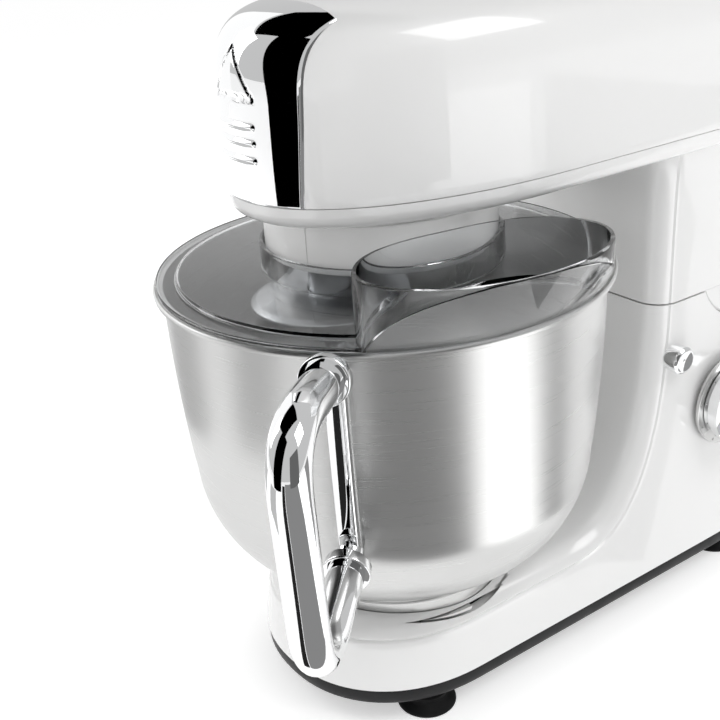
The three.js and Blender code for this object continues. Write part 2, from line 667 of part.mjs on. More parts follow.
function planetGear() {
  const shape = new THREE.Shape(toothLoop(drive.planetTeeth, false));
  shape.holes.push(new THREE.Path().absarc(0, 0, drive.shaftRadius + gap, 0, 2 * Math.PI, true));
  const gear = plate(shape, drive.gearZ, drive.gearZ + drive.gearHeight, 8);
  return gear.rotateZ(drive.spindleAngle * degrees).translate(spindleX, spindleY, 0);
}

function gearHousing() {
  const z0 = drive.gearZ + drive.gearHeight + gap;
  const top = chassis.z - gap;
  const profile = [
    [gearOuterFit - 4, z0], [gearOuterFit, z0], [gearOuterFit, top], [drive.bearingRadius + gap, top],
    [drive.bearingRadius + gap, housingPlateZ], [gearOuterFit - 4, housingPlateZ], [gearOuterFit - 4, z0],
  ];
  return turned(profile, 28);
}

function headChassis() {
  const spine = box(-chassis.halfWidth, chassis.halfWidth, chassis.frontY, chassis.rearY,
    chassis.z, chassis.z + chassis.thickness);
  const tower = postZ(chassis.towerRadius, chassis.z, chassis.z + chassis.towerHeight);
  const shaftHole = postZ(drive.shaftRadius + 2, chassis.z - 1, chassis.z + chassis.towerHeight + 1);
  const bearingSeat = postZ(drive.bearingRadius + gap, chassis.z + 1, chassis.z + chassis.towerHeight + 1);
  const plateTop = chassis.z + chassis.thickness;
  const motorHole = postZ(motor.canRadius + gap, chassis.z - 1, plateTop + 1, 0, motor.y, 28);
  return cut(join(spine, tower), shaftHole, bearingSeat, motorHole);
}

function bearing(z0) {
  const bore = drive.shaftRadius + runningGap;
  return ringZ(drive.bearingRadius, bore, z0, z0 + drive.bearingHeight - 0.4, mediumSides);
}

const carrierZ = drive.coverBottomZ + 0.7;
const carrierTopZ = carrierZ + drive.carrierHeight;

function planetCarrier() {
  const radius = coverInner - 0.7;
  const profile = [
    [0, carrierZ], [radius, carrierZ], [radius, carrierTopZ], [drive.shaftRadius, carrierTopZ],
    [drive.shaftRadius, drive.shaftTopZ], [0, drive.shaftTopZ],
  ];
  const holeRadius = drive.shaftRadius + runningGap;
  const spindleHole = postZ(holeRadius, carrierZ - 1, carrierTopZ + 1, spindleX, spindleY);
  return cut(turned(profile, fineSides), spindleHole);
}

addPiece('head', 'drive_cover', driveCover(), whitePlastic);
addPiece('head', 'ring_gear', ringGear(), gearSteel);
addPiece('head', 'gear_housing', gearHousing(), castAluminium);
addPiece('head', 'head_chassis', headChassis(), castAluminium);
addPiece('head', 'lower_bearing', bearing(housingPlateZ + 0.2), gearSteel);
addPiece('head', 'upper_bearing', bearing(chassis.z + 1 + gap), gearSteel);
addPiece('planet', 'planet_carrier', planetCarrier(), castAluminium);

function spindlePost() {
  const top = drive.gearZ + drive.gearHeight + 3;
  return postZ(drive.shaftRadius, tool.spindleBottomZ, top, spindleX, spindleY, mediumSides);
}

addPiece('spindle', 'tool_spindle', spindlePost(), gearSteel);
addPiece('spindle', 'planet_gear', planetGear(), gearSteel);

// ---------------------------------------------------------------- belt drive and motor

const pulleyZ = belt.z - (belt.pulleyHeight - belt.height) / 2;

function pulley(radius, bore, y) {
  const flange = 1.6;
  const top = pulleyZ + belt.pulleyHeight;
  const profile = [
    [bore, pulleyZ], [radius + 2.4, pulleyZ], [radius + 2.4, pulleyZ + flange], [radius, pulleyZ + flange],
    [radius, top], [bore, top], [bore, pulleyZ],
  ];
  return turned(profile, y > 0 ? 12 : 24).translate(0, y, 0);
}

function driveBelt() {
  const lean = Math.asin((belt.largeRadius - belt.smallRadius) / motor.y);
  const loop = (offset, PathClass) => {
    const path = new PathClass();
    path.absarc(0, 0, belt.largeRadius + offset, Math.PI - lean, 2 * Math.PI + lean, false);
    path.absarc(0, motor.y, belt.smallRadius + offset, lean, Math.PI - lean, false);
    return path;
  };
  const shape = loop(0.5 + belt.thickness, THREE.Shape);
  shape.holes.push(loop(0.5, THREE.Path));
  return plate(shape, belt.z, belt.z + belt.height, 12);
}

const motorTopZ = motor.z + motor.height;

function motorCan() {
  const inner = motor.canRadius - motor.wall;
  const bore = motor.shaftRadius + runningGap;
  const profile = [
    [bore, motor.z], [motor.canRadius, motor.z], [motor.canRadius, motorTopZ], [inner, motorTopZ],
    [inner, motor.z + motor.wall], [bore, motor.z + motor.wall], [bore, motor.z],
  ];
  return turned(profile, 24).translate(0, motor.y, 0);
}

function motorRotor() {
  const low = motor.z + 9;
  const high = motor.z + 38;
  const profile = [
    [0, motor.z - 3], [motor.shaftRadius, motor.z - 3], [motor.shaftRadius, low], [motor.rotorRadius, low],
    [motor.rotorRadius, high], [motor.shaftRadius, high], [motor.shaftRadius, drive.shaftTopZ],
    [0, drive.shaftTopZ],
  ];
  return turned(profile, mediumSides).translate(0, motor.y, 0);
}

function coolingFan() {
  const z0 = motor.z + 41;
  const bladeCount = 7;
  const hub = postZ(9, z0, z0 + 8);
  const disc = postZ(30, z0, z0 + 1.5);
  const blades = [];
  for (let i = 0; i < bladeCount; i += 1) {
    blades.push(box(8, 29, -0.8, 0.8, z0 + 1, z0 + 7).rotateZ(i * 2 * Math.PI / bladeCount));
  }
  const bore = postZ(motor.shaftRadius + gap, z0 - 1, z0 + 9, 0, 0, 16);
  return cut(join(hub, disc, ...blades), bore).translate(0, motor.y, 0);
}

const statorInner = motor.rotorRadius + 1;
const stator = ringZ(motor.canRadius - motor.wall - gap, statorInner, motor.z + 8, motor.z + 39, 24);
const bracket = ringZ(motor.canRadius, motor.shaftRadius + runningGap, motorTopZ + gap, motorTopZ + 2.6, 24);
addPiece('head', 'drive_belt', driveBelt(), blackRubber);
addPiece('head', 'motor_can', motorCan(), castAluminium);
addPiece('head', 'motor_stator', stator.translate(0, motor.y, 0), copper);
addPiece('head', 'motor_end_bracket', bracket.translate(0, motor.y, 0), castAluminium);
addPiece('rotor', 'motor_rotor', motorRotor(), gearSteel);
addPiece('rotor', 'motor_pulley', pulley(belt.smallRadius, motor.shaftRadius + gap, motor.y), darkPlastic);
addPiece('rotor', 'cooling_fan', coolingFan(), darkPlastic);
addPiece('planet', 'drive_pulley', pulley(belt.largeRadius, drive.shaftRadius + gap, 0), darkPlastic);

// ---------------------------------------------------------------- front outlet behind the nose cover

// A mitre wheel reduced to its pitch cone, apex at height zero, opening downwards.
function mitreCone(bore) {
  const wide = outlet.coneRadius - 0.4;
  const narrow = outlet.coneNarrow;
  return turned([
    [bore, -outlet.coneRadius], [wide, -outlet.coneRadius], [narrow, -narrow - 0.4],
    [bore, -narrow - 0.4], [bore, -outlet.coneRadius],
  ], 14);
}

function outletHub() {
  const profile = [
    [outlet.hubRadius - outlet.hubWall, outlet.faceY], [outlet.hubRadius, outlet.faceY],
    [outlet.hubRadius, outlet.backY], [outlet.shaftRadius + runningGap, outlet.backY],
    [outlet.shaftRadius + runningGap, outlet.backY - 4],
    [outlet.hubRadius - outlet.hubWall, outlet.backY - 4],
    [outlet.hubRadius - outlet.hubWall, outlet.faceY],
  ];
  const points = profile.map(([radius, y]) => new THREE.Vector2(radius, y));
  return new THREE.LatheGeometry(points, mediumSides).translate(0, 0, outlet.z);
}

function outletCoupling() {
  const front = outlet.faceY + 2;
  const profile = [
    [0, front], [outlet.coreRadius, front], [outlet.coreRadius, front + 12], [outlet.shaftRadius, front + 12],
    [outlet.shaftRadius, -13], [0, -13],
  ];
  const points = profile.map(([radius, y]) => new THREE.Vector2(radius, y));
  const body = new THREE.LatheGeometry(points, 14).translate(0, 0, outlet.z);
  return cut(body, box(-5, 5, front - 1, front + 10, outlet.z - 5, outlet.z + 5));
}

const outletWheel = mitreCone(outlet.shaftRadius + gap).rotateX(-Math.PI / 2).translate(0, 0, outlet.z);
addPiece('head', 'outlet_hub', outletHub(), castAluminium);
addPiece('outlet', 'outlet_coupling', outletCoupling(), gearSteel);
addPiece('outlet', 'outlet_mitre_wheel', outletWheel, gearSteel);
addPiece('planet', 'shaft_mitre_wheel',
  mitreCone(drive.shaftRadius + gap).translate(0, 0, outlet.z), gearSteel);

// ---------------------------------------------------------------- dough hook

function doughHook() {
  const top = tool.sleeveTopZ;
  const low = tool.sleeveBottomZ;
  const bore = drive.shaftRadius + gap;
  const sleeve = turned([
    [0, low], [tool.sleeveRadius, low], [tool.sleeveRadius, top], [bore, top],
    [bore, tool.spindleBottomZ - gap], [0, tool.spindleBottomZ - gap],
  ], mediumSides);
  const route = new THREE.CatmullRomCurve3([
    new THREE.Vector3(0, 0, low + 4), new THREE.Vector3(3, 1, low - 8), new THREE.Vector3(24, 8, 172),
    new THREE.Vector3(35, 2, 148), new THREE.Vector3(30, -16, 122), new THREE.Vector3(10, -25, 104),
    new THREE.Vector3(-10, -16, 94), new THREE.Vector3(-16, 2, 90),
  ]);
  return join(sleeve, tube(route, tool.rodRadius, 18, 7)).translate(spindleX, spindleY, 0);
}

function hookShield() {
  const z = (tool.sleeveTopZ + tool.sleeveBottomZ) / 2 + 6;
  const bore = tool.sleeveRadius + gap;
  const rim = tool.shieldRadius;
  const profile = [
    [bore, z], [rim * 0.7, z - 1.5], [rim, z - 5], [rim, z - 3.4], [rim * 0.7, z + 0.5],
    [bore, z + 2], [bore, z],
  ];
  return turned(profile, 24).translate(spindleX, spindleY, 0);
}

addPiece('spindle', 'dough_hook', doughHook(), castAluminium);
addPiece('spindle', 'hook_shield', hookShield(), castAluminium);

// ---------------------------------------------------------------- splash guard with its filling chute

const guardZ = bowl.rimZ + runningGap;
const guardRadius = bowl.rimRadius - guard.rimOverhang;
const guardStepRadius = guardRadius - guard.stepWidth;
const guardInner = drive.coverRadius + 2 * runningGap;
const chuteInnerRadius = guardInner + guard.collarWall + guard.chuteCollarGap;

// A bean-shaped outline round the bowl's axis, moved in by inset, at a height.
function beanOutline(inset, z) {
  const inner = chuteInnerRadius + inset;
  const outer = guard.chuteLipRadius - inset;
  const middle = (inner + outer) / 2;
  const half = (outer - inner) / 2;
  const centreAngle = (guard.chuteStartAngle + guard.chuteEndAngle) / 2;
  const halfAngle = (guard.chuteEndAngle - guard.chuteStartAngle) / 2 - inset / middle / degrees;
  const count = 28;
  return Array.from({ length: count }, (_, i) => {
    const turn = (i / count) * 2 * Math.PI;
    const radius = middle + half * signedPower(Math.cos(turn), 2 / guard.chutePower);
    const angle = (centreAngle + halfAngle * signedPower(Math.sin(turn), 2 / guard.chutePower)) * degrees;
    return [radius * Math.cos(angle), radius * Math.sin(angle), z];
  });
}

// An upright bean-shaped cup, trimmed by a cone that leans out from the guard's edge to the chute's lip.
// The trim meets the cup's rounded end in a crease that runs from the guard's edge up to the lip.
function chuteSolid(inset, z0, z1) {
  const lean = (guard.chuteLipRadius - guardRadius) / (guard.chuteTopZ - guardZ);
  const coneRadius = (z) => guardRadius - inset + lean * (z - guardZ);
  const cone = turned([[0, z0], [coneRadius(z0), z0], [coneRadius(z1), z1], [0, z1]], 48);
  return common(loft([beanOutline(inset, z0), beanOutline(inset, z1)]), cone);
}

function splashGuard() {
  const collarOuter = guardInner + guard.collarWall;
  const plateZ = guardZ + guard.stepHeight;
  const plateTop = plateZ + guard.thickness;
  const stepInner = guardStepRadius - guard.thickness;
  const profile = [
    [guardInner, plateZ], [stepInner, plateZ], [stepInner, guardZ], [guardRadius, guardZ],
    [guardRadius, guardZ + guard.thickness], [guardStepRadius, guardZ + guard.thickness],
    [guardStepRadius, plateTop], [collarOuter, plateTop], [collarOuter, guard.collarTopZ],
    [guardInner, guard.collarTopZ], [guardInner, plateZ],
  ];
  const lid = turned(profile, 48);
  const chuteOutside = chuteSolid(0, guardZ, guard.chuteTopZ);
  const chuteInside = chuteSolid(guard.chuteWall, guardZ - 2, guard.chuteTopZ + 2);
  return cut(join(lid, chuteOutside), chuteInside);
}

addPiece('guard', 'splash_guard', splashGuard(), clearPlastic);

// ---------------------------------------------------------------- bowl with its foot ring and handle

// Outer radius of the bowl's wall at a height.
function bowlRadius(z) {
  if (z >= bowl.kneeZ) {
    const share = (z - bowl.kneeZ) / (bowl.rimZ - bowl.kneeZ);
    const growth = bowl.rimRadius - bowl.rimWidth - bowl.sideLowRadius;
    return bowl.sideLowRadius + growth * Math.sin(share * Math.PI / 2) ** 0.8;
  }
  const share = (bowl.kneeZ - z) / (bowl.kneeZ - bowl.bottomZ);
  const width = bowl.sideLowRadius - bowl.ringRadius + 8;
  return bowl.sideLowRadius - width * (1 - Math.sqrt(Math.max(0, 1 - share ** 1.9)));
}

function bowlPiece() {
  const outer = [];
  const heights = [74, 79, 87, 98, 114, 134, 180];
  for (const z of heights) outer.push([bowlRadius(z), z]);
  const rimBottom = bowl.rimZ - bowl.rimHeight;
  const topRadius = bowlRadius(rimBottom);
  outer.push([topRadius, rimBottom], [bowl.rimRadius, rimBottom], [bowl.rimRadius, bowl.rimZ]);
  const inner = heights.map((z) => [bowlRadius(z) - bowl.wall, z + bowl.wall * 0.4]).reverse();
  const floorOuter = [[0, bowl.bottomZ], [bowl.ringRadius - 6, bowl.bottomZ]];
  const floorInner = [[bowl.ringRadius - 7, bowl.bottomZ + bowl.wall], [0, bowl.bottomZ + bowl.wall]];
  return turned([...floorOuter, ...outer, [topRadius - bowl.wall, bowl.rimZ], ...inner, ...floorInner], 30);
}

function footRing() {
  const top = bowl.bottomZ - gap;
  const low = padTopZ + gap;
  const profile = [
    [bowl.ringRadius - bowl.inLip, top - bowl.footWall], [bowl.ringRadius, top - bowl.footWall],
    [bowl.ringRadius, low], [footOuter, low], [footOuter, top], [bowl.ringRadius - bowl.inLip, top],
    [bowl.ringRadius - bowl.inLip, top - bowl.footWall],
  ];
  const lugInner = footOuter - bowl.footWall / 2;
  const lugs = bayonetAngles(bowl.lugAngle).map((angle) => arcBlock(lugInner, lugRadius, angle,
    bowl.lugHalfAngle, low, low + bowl.lugHeight));
  return join(turned(profile, 28), ...lugs);
}

// Places a piece drawn in the (reach, height) plane of y = 0 in the handle's own direction.
function atHandle(geometry) {
  return geometry.rotateZ(handle.angle * degrees);
}

// A smooth route through corner points of (reach, height), rounded by the bend length.
function handleRoute(corners) {
  const at = ([reach, z]) => new THREE.Vector3(reach, 0, z);
  const route = new THREE.CurvePath();
  let from = at(corners[0]);
  for (let i = 1; i + 1 < corners.length; i += 1) {
    const corner = at(corners[i]);
    const toNext = at(corners[i + 1]).sub(corner).normalize().multiplyScalar(handle.bend);
    const toLast = at(corners[i - 1]).sub(corner).normalize().multiplyScalar(handle.bend);
    const enter = corner.clone().add(toLast);
    const leave = corner.clone().add(toNext);
    route.add(new THREE.LineCurve3(from, enter));
    route.add(new THREE.QuadraticBezierCurve3(enter, corner, leave));
    from = leave;
  }
  route.add(new THREE.LineCurve3(from, at(corners[corners.length - 1])));
  return route;
}

const topStart = [handle.wallReach + handle.collarLength, handle.topZ + 1];
const topCorner = [handle.outerReach, handle.topZ + handle.topRise];
const lowCorner = [handle.outerReach - handle.legLean, handle.lowZ - handle.lowDrop];
const lowEnd = [handle.lowReach + 16, handle.lowZ - 5];

// A short bar or collar between two (reach, height) points.
function linkBar(from, to, radius, sides = 12) {
  const start = new THREE.Vector3(from[0], 0, from[1]);
  const end = new THREE.Vector3(to[0], 0, to[1]);
  return tube(new THREE.LineCurve3(start, end), radius, 1, sides);
}

// The point a distance along the straight line from one (reach, height) point towards another.
function towards(from, to, distance) {
  const length = Math.hypot(to[0] - from[0], to[1] - from[1]);
  return [from[0] + (to[0] - from[0]) * distance / length, from[1] + (to[1] - from[1]) * distance / length];
}

function handleTube() {
  const from = towards(topStart, topCorner, gap);
  const to = towards(lowEnd, lowCorner, gap);
  const route = handleRoute([from, topCorner, lowCorner, to]);
  return atHandle(tube(route, handle.tubeRadius, 26, 10));
}

function handleBracket(start, corner, wallZ) {
  const wallPoint = [bowlRadius(wallZ) + handle.standOff + handle.barDepth / 2, wallZ];
  const collar = linkBar(towards(start, corner, -handle.collarLength), start, handle.collarRadius);
  const collarMiddle = towards(start, corner, -handle.collarLength / 2);
  const stub = linkBar(wallPoint, collarMiddle, handle.stubRadius, coarseSides);
  return [collar, stub];
}

function handleFrame() {
  const upper = handleBracket(topStart, topCorner, handle.topZ - 6);
  const lower = handleBracket(lowEnd, lowCorner, handle.lowZ);
  const half = handle.barWidth / 2;
  const heights = [handle.lowZ - 7, handle.lowZ + 12, 160, 190, handle.topZ + 1];
  const ring = (z) => {
    const near = bowlRadius(z) + handle.standOff;
    const far = near + handle.barDepth;
    return [[near, -half, z], [far, -half, z], [far, half, z], [near, half, z]];
  };
  const bar = loft(heights.map(ring));
  const frame = join(bar, ...upper, ...lower);
  const underRimZ = bowl.rimZ - bowl.rimHeight - gap;
  const wallClear = turned([
    [0, bowl.bottomZ], ...[80, 92, 105, 120, 132, 160, 195, underRimZ].map((z) => [bowlRadius(z) + 0.8, z]),
    [bowl.rimRadius + gap, underRimZ], [bowl.rimRadius + gap, bowl.rimZ + 20], [0, bowl.rimZ + 20],
  ], 72);
  return cut(atHandle(frame), wallClear);
}

addPiece('bowl', 'bowl', bowlPiece(), brushedSteel);
addPiece('bowl', 'bowl_foot_ring', footRing(), brushedSteel);
addPiece('bowl', 'handle_tube', handleTube(), chrome);
addPiece('bowl', 'handle_bracket', handleFrame(), chrome);

// ---------------------------------------------------------------- assembly

// The origin is on the counter, under the middle of the whole mixer.
const mixer = new THREE.Group();
for (const body of Object.values(bodies)) mixer.add(body);
mixer.updateMatrixWorld(true);
const extent = new THREE.Box3().setFromObject(mixer, true);
const middle = extent.getCenter(new THREE.Vector3());
mixer.position.set(-middle.x, -middle.y, -extent.min.z);

export default mixer;
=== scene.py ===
import json
import math
import bmesh
import bpy
from mathutils import Matrix, Vector


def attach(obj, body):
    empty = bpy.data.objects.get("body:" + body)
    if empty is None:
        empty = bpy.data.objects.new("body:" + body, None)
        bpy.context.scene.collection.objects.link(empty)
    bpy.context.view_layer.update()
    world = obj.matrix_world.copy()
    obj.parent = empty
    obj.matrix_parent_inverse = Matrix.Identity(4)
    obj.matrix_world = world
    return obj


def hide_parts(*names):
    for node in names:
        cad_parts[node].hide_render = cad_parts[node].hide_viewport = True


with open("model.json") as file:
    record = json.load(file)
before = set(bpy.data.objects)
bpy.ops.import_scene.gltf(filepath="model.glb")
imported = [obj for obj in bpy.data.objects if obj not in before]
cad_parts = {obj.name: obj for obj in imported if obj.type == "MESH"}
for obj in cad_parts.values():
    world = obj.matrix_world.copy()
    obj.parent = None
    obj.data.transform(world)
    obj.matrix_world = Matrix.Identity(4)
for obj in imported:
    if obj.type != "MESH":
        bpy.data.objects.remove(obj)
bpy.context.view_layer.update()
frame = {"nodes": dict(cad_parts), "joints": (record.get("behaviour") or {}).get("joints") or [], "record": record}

# Lengths below are in millimetres. X and Y are measured from the bowl's axis and Z from the counter.
JOINTS = {joint["name"]: joint for joint in frame["joints"]}
AXIS = Vector(JOINTS["bowl_twist"]["pos_m"])
SPINDLE = (Vector(JOINTS["tool_spin"]["pos_m"]) - AXIS) * 1000
HINGE = (Vector(JOINTS["head_tilt"]["pos_m"]) - AXIS) * 1000
HINGE_Z = JOINTS["head_tilt"]["pos_m"][2] * 1000


def spot(x, y, z):
    """A point in the row frame, in metres."""
    return Vector((AXIS.x + x / 1000, AXIS.y + y / 1000, z / 1000))


# ---------------------------------------------------------------- camera

def make_camera():
    data = bpy.data.cameras.new("camera")
    data.lens = 55
    data.sensor_width = 36
    camera = bpy.data.objects.new("camera", data)
    bpy.context.scene.collection.objects.link(camera)
    back = Vector((0.7565, -0.5059, 0.4144)).normalized()
    up = Vector((-0.3065, 0.2855, 0.908))
    right = up.cross(back).normalized()
    up = back.cross(right)
    turn = Matrix((right, up, back)).transposed().to_4x4()
    camera.matrix_world = Matrix.Translation((0.41313, -0.35832, 0.4135)) @ turn
    bpy.context.scene.camera = camera


make_camera()


# ---------------------------------------------------------------- materials

class Shader:
    """A node material around one Principled shader."""

    def __init__(self, name, colour, roughness, metallic=0.0, **sockets):
        self.material = bpy.data.materials.new(name)
        self.material.use_nodes = True
        self.nodes = self.material.node_tree.nodes
        self.links = self.material.node_tree.links
        self.surface = self.nodes["Principled BSDF"]
        self.surface.inputs["Base Color"].default_value = (*colour, 1)
        self.surface.inputs["Roughness"].default_value = roughness
        self.surface.inputs["Metallic"].default_value = metallic
        for socket, value in sockets.items():
            self.surface.inputs[socket.replace("_", " ")].default_value = value
        self.place = self.nodes.new("ShaderNodeTexCoord").outputs["Object"]

    def stretched(self, scale):
        node = self.nodes.new("ShaderNodeMapping")
        node.inputs["Scale"].default_value = scale
        self.links.new(self.place, node.inputs["Vector"])
        return node.outputs["Vector"]

    def noise(self, scale, detail=3, stretch=(1, 1, 1)):
        node = self.nodes.new("ShaderNodeTexNoise")
        node.inputs["Scale"].default_value = scale
        node.inputs["Detail"].default_value = detail
        self.links.new(self.stretched(stretch), node.inputs["Vector"])
        return node.outputs["Fac"]

    def spread(self, value, low, high):
        node = self.nodes.new("ShaderNodeMapRange")
        node.inputs["From Min"].default_value = 0.3
        node.inputs["From Max"].default_value = 0.7
        node.inputs["To Min"].default_value = low
        node.inputs["To Max"].default_value = high
        self.links.new(value, node.inputs["Value"])
        return node.outputs["Result"]

    def rough(self, value, low, high):
        self.links.new(self.spread(value, low, high), self.surface.inputs["Roughness"])
        return self

    def tint(self, value, dark, light):
        node = self.nodes.new("ShaderNodeMix")
        node.data_type = "RGBA"
        node.inputs["A"].default_value = (*dark, 1)
        node.inputs["B"].default_value = (*light, 1)
        self.links.new(self.spread(value, 0, 1), node.inputs["Factor"])
        self.links.new(node.outputs["Result"], self.surface.inputs["Base Color"])
        return self

    def bump(self, value, strength, distance):
        node = self.nodes.new("ShaderNodeBump")
        node.inputs["Strength"].default_value = strength
        node.inputs["Distance"].default_value = distance
        self.links.new(value, node.inputs["Height"])
        self.links.new(node.outputs["Normal"], self.surface.inputs["Normal"])
        return self


def paint():
    made = Shader("white_gloss_paint", (0.86, 0.86, 0.85), 0.3, Coat_Weight=1.0, Coat_Roughness=0.03)
    made.tint(made.noise(9), (0.858, 0.858, 0.854), (0.864, 0.864, 0.86))
    made.rough(made.noise(60), 0.29, 0.31)
    return made.bump(made.noise(420, 2), 0.004, 0.0001).material


def gloss_plastic():
    made = Shader("white_gloss_plastic", (0.84, 0.84, 0.83), 0.22)
    made.tint(made.noise(14), (0.836, 0.836, 0.83), (0.846, 0.846, 0.84))
    made.rough(made.noise(90), 0.2, 0.24)
    return made.bump(made.noise(600, 2), 0.006, 0.0001).material


def black_plastic():
    made = Shader("black_moulded_plastic", (0.02, 0.02, 0.022), 0.42, Specular_IOR_Level=0.25)
    made.tint(made.noise(30), (0.01, 0.01, 0.011), (0.018, 0.018, 0.019))
    made.rough(made.noise(120), 0.34, 0.5)
    return made.bump(made.noise(1800, 2), 0.25, 0.0002).material


def rubber():
    made = Shader("black_rubber", (0.016, 0.016, 0.017), 0.6, Specular_IOR_Level=0.15)
    made.tint(made.noise(40), (0.006, 0.006, 0.0065), (0.014, 0.014, 0.0145))
    made.rough(made.noise(150), 0.5, 0.72)
    return made.bump(made.noise(900, 4), 0.2, 0.0003).material


def chrome():
    made = Shader("polished_chrome", (0.88, 0.885, 0.89), 0.03, 1.0)
    made.tint(made.noise(12), (0.86, 0.865, 0.87), (0.9, 0.905, 0.91))
    made.rough(made.noise(25, 5), 0.015, 0.05)
    return made.bump(made.noise(70, 2), 0.02, 0.0002).material


def brushed_steel():
    made = Shader("brushed_bowl_steel", (0.66, 0.66, 0.655), 0.3, 1.0, Anisotropic=0.6)
    lines = made.noise(30, 4, (0.3, 0.3, 110))
    made.tint(lines, (0.63, 0.63, 0.625), (0.645, 0.645, 0.64))
    made.rough(made.noise(22, 5, (0.6, 0.6, 90)), 0.27, 0.3)
    tangent = made.nodes.new("ShaderNodeTangent")
    tangent.direction_type = "RADIAL"
    tangent.axis = "Z"
    made.links.new(tangent.outputs["Tangent"], made.surface.inputs["Tangent"])
    return made.bump(lines, 0.004, 0.0001).material


def machined_steel():
    made = Shader("machined_steel", (0.52, 0.53, 0.55), 0.3, 1.0)
    made.tint(made.noise(80), (0.44, 0.45, 0.47), (0.6, 0.61, 0.63))
    made.rough(made.noise(50, 4, (1, 1, 12)), 0.22, 0.4)
    return made.bump(made.noise(60, 3, (1, 1, 20)), 0.15, 0.0002).material


def cast_metal():
    made = Shader("cast_aluminium", (0.6, 0.61, 0.62), 0.36, 1.0)
    made.tint(made.noise(45), (0.54, 0.55, 0.56), (0.66, 0.67, 0.68))
    made.rough(made.noise(160), 0.3, 0.44)
    return made.bump(made.noise(700, 4), 0.2, 0.0002).material


def copper():
    made = Shader("enamelled_copper", (0.62, 0.3, 0.14), 0.3, 0.9)
    made.tint(made.noise(60, 2, (1, 1, 30)), (0.42, 0.18, 0.07), (0.72, 0.38, 0.2))
    return made.bump(made.noise(60, 1, (1, 1, 30)), 0.6, 0.0006).material


def circuit():
    made = Shader("green_circuit_board", (0.03, 0.2, 0.08), 0.35)
    made.tint(made.noise(260, 1), (0.02, 0.14, 0.05), (0.05, 0.3, 0.12))
    return made.bump(made.noise(260, 1), 0.3, 0.0003).material


def clear_plastic():
    made = Shader("clear_smoked_plastic", (0.93, 0.94, 0.945), 0.03, Transmission_Weight=1.0, IOR=1.47)
    made.tint(made.noise(8), (0.9, 0.91, 0.92), (0.95, 0.955, 0.96))
    made.rough(made.noise(40, 4), 0.015, 0.06)
    return made.bump(made.noise(90, 2), 0.02, 0.0002).material


MATERIALS = {
    "white_paint": paint(),
    "white_plastic": gloss_plastic(),
    "black_plastic": black_plastic(),
    "black_rubber": rubber(),
    "chrome": chrome(),
    "brushed_steel": brushed_steel(),
    "machined_steel": machined_steel(),
    "cast_metal": cast_metal(),
    "copper_winding": copper(),
    "circuit_board": circuit(),
    "clear_plastic": clear_plastic(),
}


# ---------------------------------------------------------------- mesh helpers

def solid(name, points, faces):
    """An object from points in millimetres, with welded corners and faces pointing out."""
    mesh = bpy.data.meshes.new(name)
    mesh.from_pydata([spot(*point) for point in points], [], faces)
    work = bmesh.new()
    work.from_mesh(mesh)
    bmesh.ops.remove_doubles(work, verts=work.verts, dist=2e-6)
    bmesh.ops.dissolve_degenerate(work, edges=work.edges, dist=1e-6)
    bmesh.ops.recalc_face_normals(work, faces=work.faces)
    if work.calc_volume(signed=True) < 0:
        bmesh.ops.reverse_faces(work, faces=work.faces)
    work.to_mesh(mesh)
    work.free()
    obj = bpy.data.objects.new(name, mesh)
    bpy.context.scene.collection.objects.link(obj)
    return obj


def ring_faces(levels, count, caps=True):
    """Faces that join rings of points laid out one after another."""
    faces = []
    for level in range(levels - 1):
        for i in range(count):
            here = level * count + i
            beside = level * count + (i + 1) % count
            faces.append((here, beside, beside + count, here + count))
    if caps:
        faces.append(tuple(reversed(range(count))))
        faces.append(tuple(range((levels - 1) * count, levels * count)))
    return faces


def skin(name, rings, caps=True):
    points = [point for ring in rings for point in ring]
    return solid(name, points, ring_faces(len(rings), len(rings[0]), caps))


def loop_skin(name, rings):
    """Rings whose last one joins back to the first, such as the section of a hollow ring."""
    return skin(name, rings + [rings[0]], caps=False)


def rounded(corners, radius, steps=4, closed=True):
    """The corners of a flat outline, with each corner turned into an arc."""
    result = []
    count = len(corners)
    for i, corner in enumerate(corners):
        if not closed and i in (0, count - 1):
            result.append(tuple(corner))
            continue
        here = Vector(corner)
        before = Vector(corners[i - 1]) - here
        after = Vector(corners[(i + 1) % count]) - here
        reach = min(radius, before.length * 0.48, after.length * 0.48)
        start = here + before.normalized() * reach
        end = here + after.normalized() * reach
        for step in range(steps + 1):
            share = step / steps
            mixed = start * (1 - share) ** 2 + here * 2 * share * (1 - share) + end * share ** 2
            result.append(tuple(mixed))
    return result


def rectangle(left, right, low, high):
    """The corners of a rectangle: a plain profile for turned, a bar's section or the backdrop's plan."""
    return [(left, low), (right, low), (right, high), (left, high)]


def turned(name, profile, centre=(0, 0), sides=96, round_by=0.0, axis="Z"):
    """A closed profile of (radius, height) turned about an upright axis, or one along X or Y."""
    outline = rounded(profile, round_by) if round_by else profile
    rings = []
    for i in range(sides):
        angle = 2 * math.pi * i / sides
        c, s = math.cos(angle), math.sin(angle)
        if axis == "Z":
            rings.append([(centre[0] + r * c, centre[1] + r * s, z) for r, z in outline])
        elif axis == "X":
            rings.append([(z, centre[0] + r * c, centre[1] + r * s) for r, z in outline])
        else:
            rings.append([(centre[0] + r * c, z, centre[1] + r * s) for r, z in outline])
    return loop_skin(name, rings)


def block(name, low, high):
    """A plain box, used only to cut or join."""
    (x0, y0, z0), (x1, y1, z1) = low, high
    rings = [[(x0, y0, z), (x1, y0, z), (x1, y1, z), (x0, y1, z)] for z in (z0, z1)]
    return skin(name, rings)


def combine(target, tool, operation):
    """Cuts or joins two solids and keeps the result on the first."""
    modifier = target.modifiers.new("combine", "BOOLEAN")
    modifier.operation = operation
    modifier.solver = "EXACT"
    modifier.object = tool
    result = bpy.data.meshes.new_from_object(target.evaluated_get(bpy.context.evaluated_depsgraph_get()))
    target.modifiers.clear()
    target.data = result
    bpy.data.objects.remove(tool)
    return target


